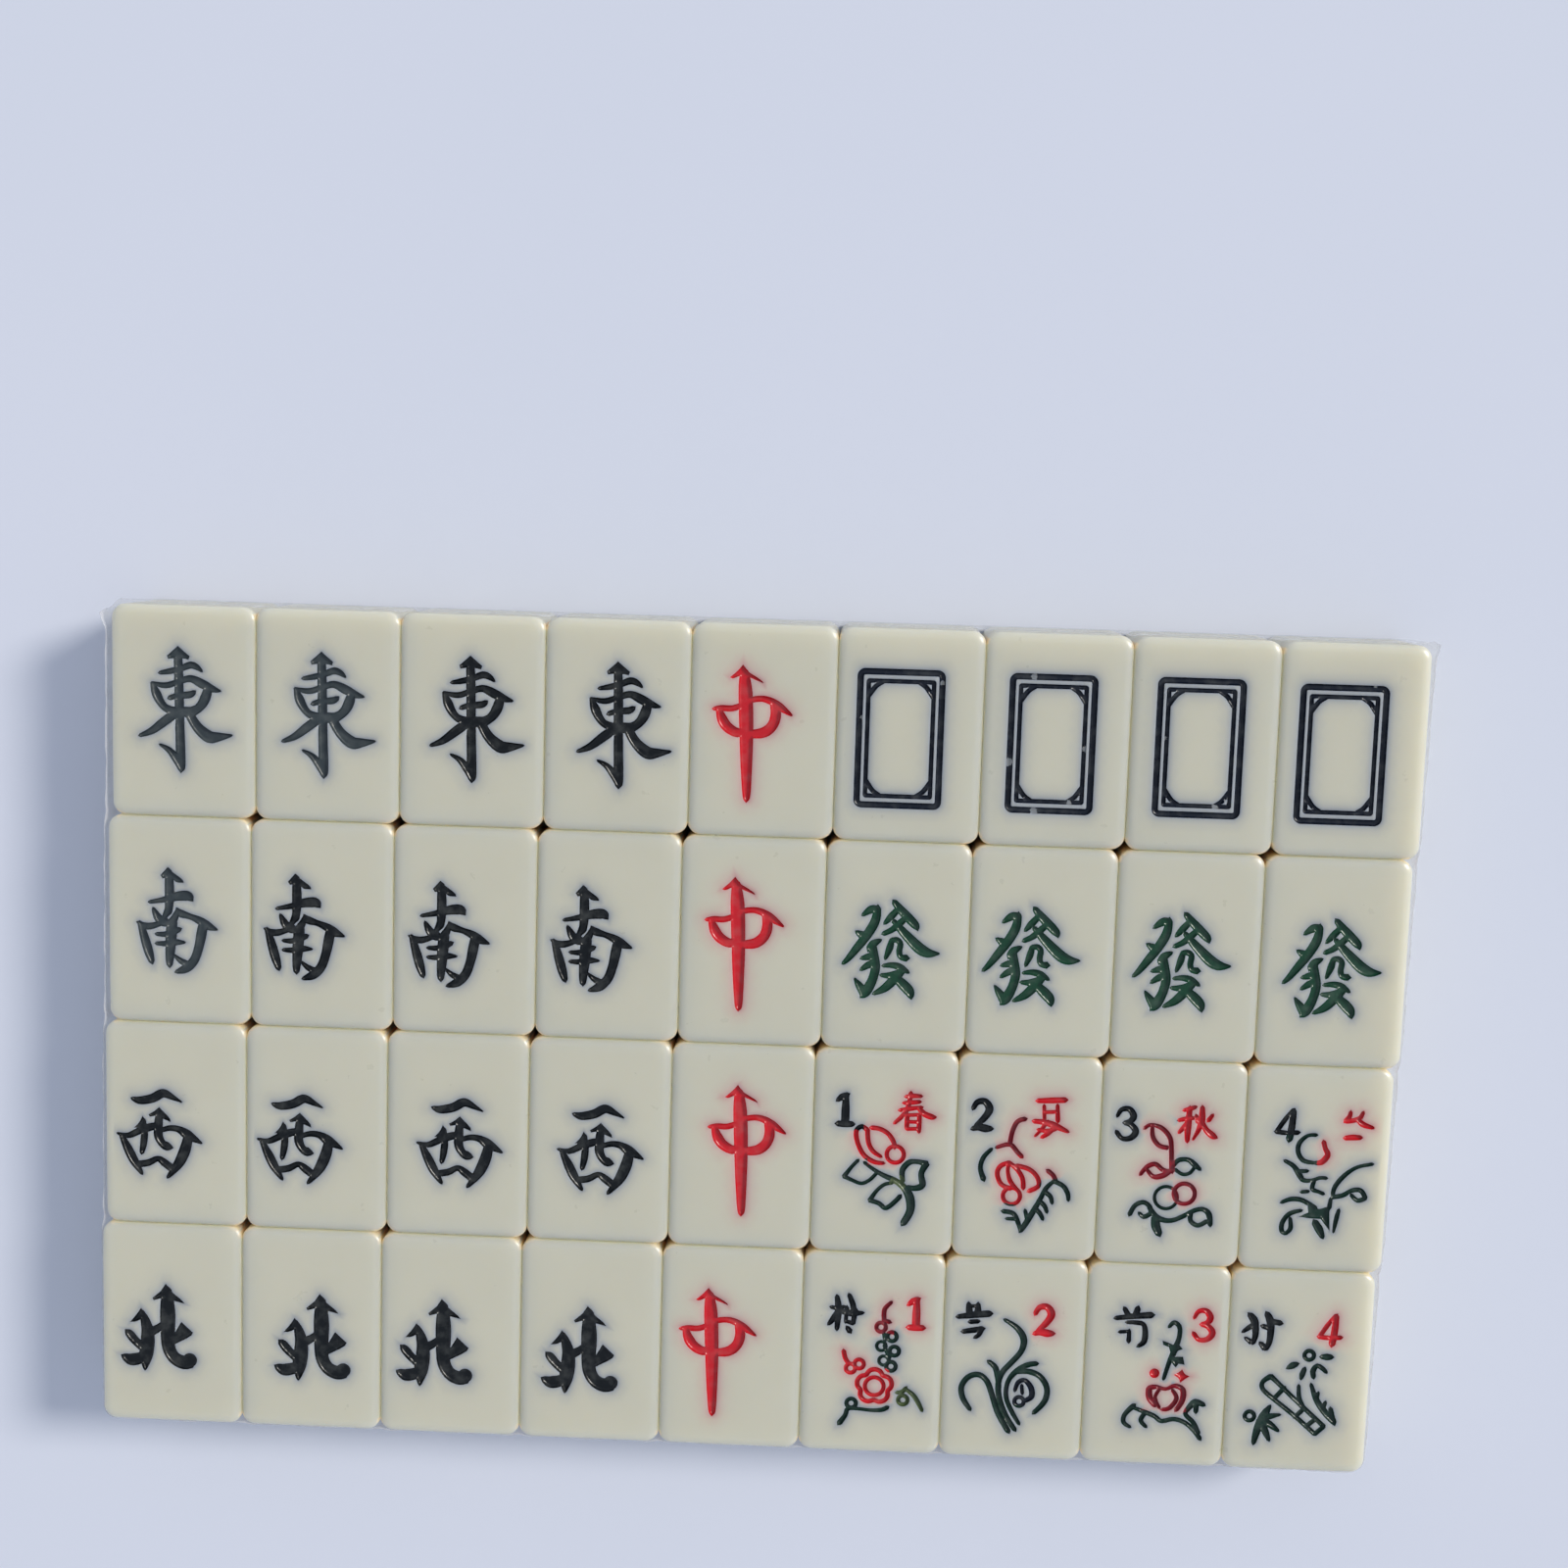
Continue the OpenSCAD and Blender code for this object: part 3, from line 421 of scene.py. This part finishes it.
class Signs:
    """The painted outlines of a tile, measured from any point of its face."""

    def __init__(self, loops):
        self.loops = loops
        self.samples = np.vstack([along(loops, 0, SAMPLE_STEP)] + loops)
        self.tree = KDTree(len(self.samples))
        for number, (x, y) in enumerate(self.samples):
            self.tree.insert((x, y, 0), number)
        self.tree.balance()

    def measure(self, points):
        """How far each point is inside the paint, below zero outside it, and its nearest sample."""
        found = [self.tree.find((x, y, 0)) for x, y in points]
        gap = np.array([distance for _, _, distance in found])
        inside = np.zeros(len(points), bool)
        x, y = points.T
        for loop in self.loops:
            for a, b in zip(loop, np.roll(loop, -1, 0)):
                if a[1] != b[1]:
                    crosses = (a[1] > y) != (b[1] > y)
                    inside ^= crosses & (x < a[0] + (b[0] - a[0]) * (y - a[1]) / (b[1] - a[1]))
        return np.where(inside, gap, -gap) + PAINT_LAP, np.array([number for _, number, _ in found])


def grid_points(half_w, half_h, step):
    """A staggered grid of points over a rectangle."""
    rows = np.arange(-half_h, half_h, step * math.sqrt(3) / 2)
    columns = np.arange(-half_w, half_w, step)
    return np.array([(x + (i % 2) * step / 2, y) for i, y in enumerate(rows) for x in columns])


def rounded_rectangle(half_w, half_h, r):
    """Outline of a rectangle with round corners, anticlockwise, with points along its straight sides."""
    quarter = [math.pi / 2 * k / CORNER_STEPS for k in range(CORNER_STEPS + 1)]
    corners = [(1, 1, 0), (-1, 1, 1), (-1, -1, 2), (1, -1, 3)]
    points = []
    for (sx, sy, turns), (nx, ny, _) in zip(corners, corners[1:] + corners[:1]):
        c = np.array((sx * (half_w - r), sy * (half_h - r)))
        turned = [a + turns * math.pi / 2 for a in quarter]
        arc = [c + r * np.array((math.cos(a), math.sin(a))) for a in turned]
        points += arc
        n = np.array((nx * (half_w - r), ny * (half_h - r)))
        start = arc[-1]
        run = n - c
        steps = max(1, round(np.hypot(*run) / EDGE_STEP))
        points += [start + run * k / steps for k in range(1, steps)]
    return np.array(points)


def rim_rings(half, thickness):
    """Outlines of the blank from the edge of its face down to the edge of its back, with their heights."""
    quarter = [math.pi / 2 * k / RIM_STEPS for k in range(RIM_STEPS + 1)]
    upper = [(RIM_RUN * (1 - math.sin(a)), thickness - RIM_DROP * (1 - math.cos(a))) for a in quarter]
    # Rings down the wall where the painted light along the edges and in the corners fades out
    wall = [(0, thickness - RIM_DROP - down) for down in (PAINTED_EDGE_LIGHT_DOWN, PAINTED_NOOK_LIGHT_DOWN)]
    lower = [(inset, thickness - z) for inset, z in reversed(upper)]
    return [(rounded_rectangle(*(half - inset), CORNER_R - inset), z) for inset, z in upper + wall + lower]


def face_plan(half, signs):
    """Points of the face in plan, its triangles and which of them are painted."""
    flat = half - RIM_RUN
    edge = rounded_rectangle(*flat, CORNER_R - RIM_RUN)
    painted = [widened(loop, PAINT_LAP) for loop in signs.loops]
    spots = []
    for offset, step in RINGS:
        ring = along(painted, offset, step)
        ring = ring[(np.abs(ring) < flat - FLOOR_STEP).all(1)]
        inside = signs.measure(ring)[0]
        spots.append(ring[(inside * offset > 0) & (np.abs(inside) > RING_KEPT * abs(offset))])
    floors = grid_points(*flat, FLOOR_STEP)
    spots.append(floors[signs.measure(floors)[0] > RINGS[1][0] + FLOOR_STEP / 2])
    flats = grid_points(*(flat - FACE_STEP / 3), FACE_STEP)
    spots.append(flats[signs.measure(flats)[0] < -CLEAR_OF_SIGN])
    rings = [edge] + painted
    starts = np.cumsum([0] + [len(r) for r in rings])
    sides = [(int(s + k), int(s + (k + 1) % len(r))) for s, r in zip(starts, rings) for k in range(len(r))]
    everywhere = [Vector(p) for p in np.vstack(rings + spots)]
    found = delaunay_2d_cdt(everywhere, sides, [], 0, PLAN_WELD, False)
    points = np.array([tuple(v) for v in found[0]])
    triangles = np.array([tuple(f) for f in found[2]])
    cut = signs.measure(points[triangles].mean(1))[0] > 0
    return points, triangles, cut


def faces_another(name, points):
    """Which points on a tile's outline face another tile, in plan."""
    ahead = PLACES[name][0] + LOOK_OUT * points
    others = [place for other, place in PLACES.items() if other != name]
    return np.any([(np.abs(ahead - middle) < half).all(1) for middle, half in others], 0)


def painted_shared_light(name, verts, half, thickness):
    """How much painted light each point of a tile gets, along the edges and corners that meet others."""
    below = thickness - verts[:, 2]
    meets = faces_another(name, verts[:, :2])
    # Nothing on the face, all of it from three quarters of the way down the rim
    rounded = np.clip((below - RIM_DROP / 4) / (RIM_DROP / 2), 0, 1)
    edge = PAINTED_EDGE_LIGHT * meets * rounded * np.clip(1 - (below - RIM_DROP) / PAINTED_EDGE_LIGHT_DOWN, 0, 1)
    corner = meets & (np.abs(verts[:, :2]) > half - CORNER_R).all(1)
    nook = PAINTED_NOOK_LIGHT * corner * rounded * np.clip(1 - (below - RIM_DROP) / PAINTED_NOOK_LIGHT_DOWN, 0, 1)
    return edge, nook


def blank_tile(name, half, thickness, loops):
    """A closed tile, not yet engraved, that knows its paint and how far inside the signs each point is."""
    signs = Signs(loops)
    plan, triangles, cut = face_plan(half, signs)
    inside, nearest = signs.measure(plan)
    touched = np.zeros(len(plan), bool)
    touched[triangles[cut].ravel()] = True
    rings = rim_rings(half, thickness)
    count = len(rings[0][0])
    order = {tuple(np.round(p, PLAN_DIGITS)): i for i, p in enumerate(plan)}
    above = [order[tuple(np.round(p, PLAN_DIGITS))] for p in rings[0][0]]
    verts = [(x, y, thickness) for x, y in plan]
    faces = [tuple(t) for t in triangles]
    for outline, z in rings[1:]:
        below = list(range(len(verts), len(verts) + count))
        verts += [(x, y, z) for x, y in outline]
        steps = [(k, (k + 1) % count) for k in range(count)]
        faces += [(above[k], below[k], below[after], above[after]) for k, after in steps]
        above = below
    faces.append(tuple(reversed(above)))
    verts = np.array(verts)
    # Painted light where the tile meets others
    painted_edge_light, painted_nook_light = painted_shared_light(name, verts, half, thickness)
    fall = (np.abs(verts[:, :2]) / half) ** CROWN_POWER
    verts[:, 2] -= FACE_CROWN * fall.sum(1) * verts[:, 2] / thickness
    mesh = bpy.data.meshes.new(name)
    mesh.from_pydata(verts * MM, [], faces, shade_flat=False)
    distance = np.zeros(len(verts))
    distance[:len(plan)] = np.where(touched, np.maximum(inside, 0), 0) * MM
    # Painted shade beside the signs, fading with distance from the paint
    sign_shade = np.zeros(len(verts))
    sign_shade[:len(plan)] = SIGN_SHADE_STRENGTH * np.exp(np.minimum(inside, 0) / SIGN_SHADE_REACH)
    reddish = np.zeros(len(verts), bool)
    reddish[:len(plan)] = np.isin(paint_numbers(name, signs.samples[nearest]), REDS)
    paint = np.full(len(faces), BARE)
    paint[:len(triangles)][cut] = paint_numbers(name, plan[triangles[cut]].mean(1))
    for kept, values in (("inside_sign", distance), ("painted_sign_shade", np.where(reddish, 0, sign_shade)),
                         ("painted_pink_sign_shade", np.where(reddish, sign_shade, 0)),
                         ("painted_edge_light", painted_edge_light), ("painted_nook_light", painted_nook_light)):
        mesh.attributes.new(kept, "FLOAT", "POINT").data.foreach_set("value", values)
    mesh.attributes.new("paint", "INT", "FACE").data.foreach_set("value", paint.astype(np.int32))
    in_sign = np.zeros(len(faces), bool)
    in_sign[:len(triangles)] = cut
    sharpen(mesh, in_sign)
    return mesh


def sharpen(mesh, signs):
    """Marks the edges between the face and the engraving as sharp."""
    sides = {}
    for polygon in mesh.polygons:
        for key in polygon.edge_keys:
            sides.setdefault(key, set()).add(bool(signs[polygon.index]))
    sharp = [len(sides[tuple(sorted(e.vertices))]) == 2 for e in mesh.edges]
    mesh.attributes.new("sharp_edge", "BOOLEAN", "EDGE").data.foreach_set("value", sharp)


def new_geometry_tree(name, sizes):
    """Empty Geometry Nodes that take a geometry and named lengths, and what they are given."""
    tree = bpy.data.node_groups.new(name, "GeometryNodeTree")
    tree.interface.new_socket("Geometry", in_out="INPUT", socket_type="NodeSocketGeometry")
    for size in sizes:
        tree.interface.new_socket(size, in_out="INPUT", socket_type="NodeSocketFloat")
    tree.interface.new_socket("Geometry", in_out="OUTPUT", socket_type="NodeSocketGeometry")
    return tree, add(tree, "NodeGroupInput").outputs


def engraving_tree():
    """Geometry Nodes that sink the signs with rounded walls and give every face its finish."""
    tree, given = new_geometry_tree("engraving", ("Cut Depth", "Wall Run"))
    inside = add(tree, "GeometryNodeInputNamedAttribute", {"Name": "inside_sign"}, data_type="FLOAT")
    share = add(tree, "ShaderNodeMath", {
        0: inside.outputs["Attribute"], 1: given["Wall Run"]}, operation="DIVIDE", use_clamp=True)
    left = add(tree, "ShaderNodeMath", {0: 1.0, 1: share.outputs[0]}, operation="SUBTRACT")
    square = add(tree, "ShaderNodeMath", {0: left.outputs[0], 1: left.outputs[0]}, operation="MULTIPLY")
    rest = add(tree, "ShaderNodeMath", {0: 1.0, 1: square.outputs[0]}, operation="SUBTRACT")
    curve = add(tree, "ShaderNodeMath", {0: rest.outputs[0]}, operation="SQRT")
    down = add(tree, "ShaderNodeMath", {0: given["Cut Depth"], 1: -1.0}, operation="MULTIPLY")
    depth = add(tree, "ShaderNodeMath", {0: curve.outputs[0], 1: down.outputs[0]}, operation="MULTIPLY")
    offset = add(tree, "ShaderNodeCombineXYZ", {"Z": depth.outputs[0]})
    sunk = add(tree, "GeometryNodeSetPosition", {
        "Geometry": given["Geometry"], "Offset": offset.outputs[0]})
    whole = add(tree, "GeometryNodeRealizeInstances", {"Geometry": sunk.outputs[0]})
    shown = add(tree, "GeometryNodeSetMaterial", {"Geometry": whole.outputs[0], "Material": IVORY})
    paint = add(tree, "GeometryNodeInputNamedAttribute", {"Name": "paint"}, data_type="INT")
    for number, name in enumerate(PAINT_NAMES):
        here = add(tree, "FunctionNodeCompare", {
            2: paint.outputs["Attribute"], 3: number}, data_type="INT", operation="EQUAL")
        shown = add(tree, "GeometryNodeSetMaterial", {
            "Geometry": shown.outputs[0], "Selection": here.outputs[0], "Material": PAINTS[name]})
    add(tree, "NodeGroupOutput", {0: shown.outputs[0]})
    return tree


def with_nodes(name, mesh, tree, sizes, wall=0.0):
    """A plain object made by Geometry Nodes with their named inputs set, thickened if it is a sheet."""
    raw = bpy.data.objects.new(name + "_raw", mesh)
    bpy.context.scene.collection.objects.link(raw)
    modifier = raw.modifiers.new("nodes", "NODES")
    modifier.node_group = tree
    for socket in tree.interface.items_tree:
        if socket.in_out == "INPUT" and socket.name in sizes:
            modifier[socket.identifier] = sizes[socket.name]
    if wall:
        sheet = raw.modifiers.new("sheet", "SOLIDIFY")
        sheet.thickness = wall
        sheet.offset = 0.0
    evaluated = raw.evaluated_get(bpy.context.evaluated_depsgraph_get())
    made = bpy.data.objects.new(name, bpy.data.meshes.new_from_object(evaluated))
    bpy.context.scene.collection.objects.link(made)
    bpy.data.objects.remove(raw)
    return made


def make_tiles():
    """Every tile in its own place, engraved, painted and standing for its solid."""
    tree = engraving_tree()
    for name in TILES:
        low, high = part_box(name)
        middle = (low + high) / 2
        half = PLACES[name][1] + SIDE_SWELL
        thickness = (high.z - low.z) / MM
        loops, depth = sign_loops(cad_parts[name], middle)
        mesh = blank_tile(name, half, thickness, [eased(loop) for loop in loops])
        mesh.transform(Matrix.Translation((middle.x, middle.y, low.z)))
        tile = with_nodes("look_" + name, mesh, tree, {"Cut Depth": depth, "Wall Run": WALL_RUN * MM})
        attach(tile, name)
        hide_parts(name)


# Film

def film_corners():
    """Corners of the film in plan, anticlockwise, in millimetres, in the middle of its wall."""
    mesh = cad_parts["film_wrap"].data
    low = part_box("film_wrap")[0]
    under = [v.co / MM for v in mesh.vertices if v.co.z - low.z < WELD]
    found = {(round(p.x, FILM_DIGITS), round(p.y, FILM_DIGITS)) for p in under}
    corners = np.array(sorted(found, key=lambda p: math.atan2(p[1], p[0])))
    return widened(corners, -FILM_WALL)


def film_path():
    """Evenly spaced points round the film, with how near each is to a pinched corner."""
    corners = film_corners()
    path, pinches = [], []
    for before, corner, after in zip(np.roll(corners, 1, 0), corners, np.roll(corners, -1, 0)):
        a = (corner - before) / math.dist(corner, before)
        b = (after - corner) / math.dist(after, corner)
        turn = math.atan2(a[0] * b[1] - a[1] * b[0], a @ b)
        pinched = corner[1] > 0
        r = FILM_PINCH_R if pinched else FILM_CORNER_R
        start = corner - a * r * math.tan(turn / 2)
        centre = start + r * np.array((-a[1], a[0]))
        for k in range(CORNER_STEPS + 1):
            angle = turn * k / CORNER_STEPS
            spin = np.array(((math.cos(angle), -math.sin(angle)), (math.sin(angle), math.cos(angle))))
            path.append(centre + spin @ (start - centre))
        if pinched:
            pinches.append(corner)
    path = np.array(path + path[:1])
    run = np.concatenate(([0], np.cumsum(np.hypot(*np.diff(path, axis=0).T))))
    place = np.linspace(0, run[-1], round(run[-1] / FILM_STEP), endpoint=False)
    points = np.stack([np.interp(place, run, path[:, k]) for k in (0, 1)], 1)
    near = np.min([np.hypot(*(points - p).T) for p in pinches], 0)
    return points, place, np.exp(-(near / FILM_PINCH_RUN) ** 2)


def film_clearance(points):
    """How far each point of the film stands off the nearest tile, in millimetres."""
    nearest = np.full(len(points), np.inf)
    for middle, half in PLACES.values():
        beyond = np.abs(points - middle) - (half - CORNER_R)
        nearest = np.minimum(nearest, np.hypot(*np.maximum(beyond, 0).T) - CORNER_R)
    return nearest


def crease_tree():
    """Geometry Nodes that wrinkle the film in and out where it is slack."""
    tree, given = new_geometry_tree("creases", ("Crease Width", "Crease Height"))
    size = add(tree, "ShaderNodeCombineXYZ", {
        "X": given["Crease Width"], "Y": given["Crease Width"], "Z": given["Crease Height"]})
    place = add(tree, "ShaderNodeVectorMath", {
        0: add(tree, "GeometryNodeInputPosition").outputs[0], 1: size.outputs[0]}, operation="DIVIDE")
    folds = add(tree, "ShaderNodeTexNoise", {"Vector": place.outputs[0], "Scale": 1.0, "Detail": 2.0})
    swing = add(tree, "ShaderNodeMapRange", {"Value": folds.outputs["Fac"], "To Min": -1.0}, clamp=False)
    slack = add(tree, "GeometryNodeInputNamedAttribute", {"Name": "slack"}, data_type="FLOAT")
    outward = add(tree, "GeometryNodeInputNamedAttribute", {"Name": "outward"}, data_type="FLOAT_VECTOR")
    reach = add(tree, "ShaderNodeMath", {
        0: swing.outputs[0], 1: slack.outputs["Attribute"]}, operation="MULTIPLY")
    offset = add(tree, "ShaderNodeVectorMath", {
        0: outward.outputs["Attribute"], "Scale": reach.outputs[0]}, operation="SCALE")
    moved = add(tree, "GeometryNodeSetPosition", {
        "Geometry": given["Geometry"], "Offset": offset.outputs[0]})
    whole = add(tree, "GeometryNodeRealizeInstances", {"Geometry": moved.outputs[0]})
    shown = add(tree, "GeometryNodeSetMaterial", {"Geometry": whole.outputs[0], "Material": FILM})
    add(tree, "NodeGroupOutput", {0: shown.outputs[0]})
    return tree


def make_film():
    """The film: a flat sheet under the tiles with a soft fold up into walls that end in a cut edge."""
    points, place, pinch = film_path()
    outward = -left_of(np.roll(points, -1, 0) - np.roll(points, 1, 0))
    clear = film_clearance(points)
    spare = np.maximum(clear - clear.min(), 0)
    low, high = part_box("film_wrap")
    foot = low.z / MM + FILM_WALL / 2
    wave = sum(height * np.sin(2 * math.pi * place / length + start)
               for length, height, start in FILM_WAVES)
    top = high.z / MM - sum(height for _, height, _ in FILM_WAVES) + wave
    count = len(points)
    verts, slacks, haze_and_sheen_rows = [], [], []
    for k in range(FILM_FOOT_STEPS):
        a = math.pi / 2 * k / FILM_FOOT_STEPS
        inset = FILM_FOOT_R * (1 - math.sin(a))
        rise = np.full((count, 1), foot + FILM_FOOT_R * (1 - math.cos(a)))
        verts.append(np.hstack((points - inset * outward, rise)))
        slacks.append(np.zeros(count))
        haze_and_sheen_rows.append(np.zeros(count))
    for k in range(FILM_ROWS + 1):
        share = k / FILM_ROWS
        grow = min(1.0, FILM_LOOSENS * share)
        sag = FILM_SAG * spare * (1 - pinch) * grow
        shift = FILM_PINCH_OUT * pinch * share - sag + FILM_CURL * share ** FILM_CURL_POWER
        rise = foot + FILM_FOOT_R + (top - foot - FILM_FOOT_R) * share
        verts.append(np.hstack((points + shift[:, None] * outward, rise[:, None])))
        slacks.append((FILM_CREASE + FILM_CREASE_SLACK * spare) * grow * MM)
        # Painted sheen where the film is slack, partly milky film, and a painted highlight along the cut
        # edge
        haze_and_sheen_rows.append(FILM_SLACK_HAZE_AND_SHEEN * np.minimum(spare, 1.0) * grow + FILM_EDGE_HIGHLIGHT * share ** FILM_EDGE_POWER)
    rings = len(verts)
    faces = []
    for start in range(0, (rings - 1) * count, count):
        steps = [(start + k, start + (k + 1) % count) for k in range(count)]
        faces += [(here, after, after + count, here + count) for here, after in steps]
    faces.append(tuple(reversed(range(count))))
    mesh = bpy.data.meshes.new("film")
    mesh.from_pydata(np.vstack(verts) * MM, [], faces, shade_flat=False)
    mesh.attributes.new("slack", "FLOAT", "POINT").data.foreach_set("value", np.concatenate(slacks))
    mesh.attributes.new("haze", "FLOAT", "POINT").data.foreach_set("value", np.concatenate(haze_and_sheen_rows))
    level = np.tile(np.hstack((outward, np.zeros((count, 1)))), (rings, 1))
    mesh.attributes.new("outward", "FLOAT_VECTOR", "POINT").data.foreach_set("vector", level.ravel())
    sizes = {"Crease Width": FILM_CREASE_WIDTH * MM, "Crease Height": FILM_CREASE_HEIGHT * MM}
    film = with_nodes("look_film", mesh, crease_tree(), sizes, FILM_WALL * MM)
    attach(film, "film")
    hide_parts("film_wrap")


make_film()
make_tiles()


# Stage

# The camera that was fitted to the photograph, its place being from the middle of the faces
PHOTO_PX = 1600
FOCAL_PX = 2200
SENSOR = 36.0
BLOCK_MIDDLE = Vector((-0.251, 0.0, 11.6)) * MM
CAMERA_PLACE = Vector((10.0, 55.5, 221.1)) * MM
CAMERA_VIEW = Vector((-0.0309, -0.1243, -0.9918))
CAMERA_UP = Vector((-0.0348, 0.9918, -0.1232))
CAMERA_NEAR = 5 * MM
FLOOR_REACH = 4.0
KEY_POWER = 2.3
KEY_SPREAD = math.radians(16)
KEY_COLOUR = (1.0, 0.955, 0.88)
KEY_FROM = Vector((0.72, 0.34, 0.6))
# Strength of the room's light at the horizon and at the ceiling: as it shines, and as gloss mirrors it
ROOM_SHINES = (0.5, 0.7)
ROOM_MIRRORED = (0.8, 0.3)


def make_camera():
    """A camera at the photograph's place over the pack."""
    data = bpy.data.cameras.new("camera")
    data.sensor_width = SENSOR
    data.lens = SENSOR * FOCAL_PX / PHOTO_PX
    data.clip_start = CAMERA_NEAR
    camera = bpy.data.objects.new("camera", data)
    back = -CAMERA_VIEW.normalized()
    side = CAMERA_UP.cross(back).normalized()
    turn = Matrix((side, back.cross(side), back)).transposed()
    camera.matrix_world = Matrix.Translation(BLOCK_MIDDLE + CAMERA_PLACE) @ turn.to_4x4()
    bpy.context.scene.collection.objects.link(camera)
    bpy.context.scene.camera = camera


def make_floor():
    """A pale matt sheet under the pack."""
    material, tree, shader = new_material("matt_paper_pale")
    place = add(tree, "ShaderNodeTexCoord").outputs["Object"]
    tone = noise(tree, place, PAPER_TONE_SIZE, 2.0)
    tree.links.new(blend(tree, tone, linear("#D4D9E4"), linear("#DADDE8")), shader.inputs["Base Color"])
    shader.inputs["Roughness"].default_value = 0.7
    shader.inputs["Specular IOR Level"].default_value = 0.2
    mesh = bpy.data.meshes.new("floor")
    corners = [(FLOOR_REACH * x, FLOOR_REACH * y, 0) for x, y in ((-1, -1), (1, -1), (1, 1), (-1, 1))]
    mesh.from_pydata(corners, [], [(0, 1, 2, 3)])
    mesh.materials.append(material)
    floor = bpy.data.objects.new("floor", mesh)
    bpy.context.scene.collection.objects.link(floor)


def make_lights():
    """A soft warm key from the right, in a pale room whose ceiling is dark where gloss mirrors it."""
    key = bpy.data.lights.new("key", "SUN")
    key.energy = KEY_POWER
    key.angle = KEY_SPREAD
    key.color = KEY_COLOUR
    lamp = bpy.data.objects.new("key", key)
    lamp.rotation_mode = "QUATERNION"
    lamp.rotation_quaternion = KEY_FROM.to_track_quat("Z", "Y")
    bpy.context.scene.collection.objects.link(lamp)
    world = bpy.data.worlds.new("room")
    world.use_nodes = True
    tree = world.node_tree
    tree.nodes.clear()
    direction = add(tree, "ShaderNodeTexCoord").outputs["Generated"]
    up = add(tree, "ShaderNodeSeparateXYZ", {0: direction}).outputs["Z"]
    rays = add(tree, "ShaderNodeLightPath").outputs
    shines, mirrored = (
        add(tree, "ShaderNodeMapRange", {"Value": up, "To Min": horizon, "To Max": ceiling}).outputs[0]
        for horizon, ceiling in (ROOM_SHINES, ROOM_MIRRORED))
    power = add(tree, "ShaderNodeMix", {
        "Factor": rays["Is Glossy Ray"], "A": shines, "B": mirrored}, data_type="FLOAT")
    seen = add(tree, "ShaderNodeMath", {
        0: rays["Is Camera Ray"], 1: rays["Is Transmission Ray"]}, operation="MAXIMUM")
    light = add(tree, "ShaderNodeBackground", {"Color": linear("#DFE8FA"), "Strength": power.outputs[0]})
    backdrop = add(tree, "ShaderNodeBackground", {"Color": linear("#CFD4E4"), "Strength": 1.0})
    mixed = add(tree, "ShaderNodeMixShader", {
        0: seen.outputs[0], 1: light.outputs[0], 2: backdrop.outputs[0]})
    add(tree, "ShaderNodeOutputWorld", {"Surface": mixed.outputs[0]})
    bpy.context.scene.world = world


make_camera()
make_floor()
make_lights()
bpy.context.scene.view_settings.view_transform = "Standard"
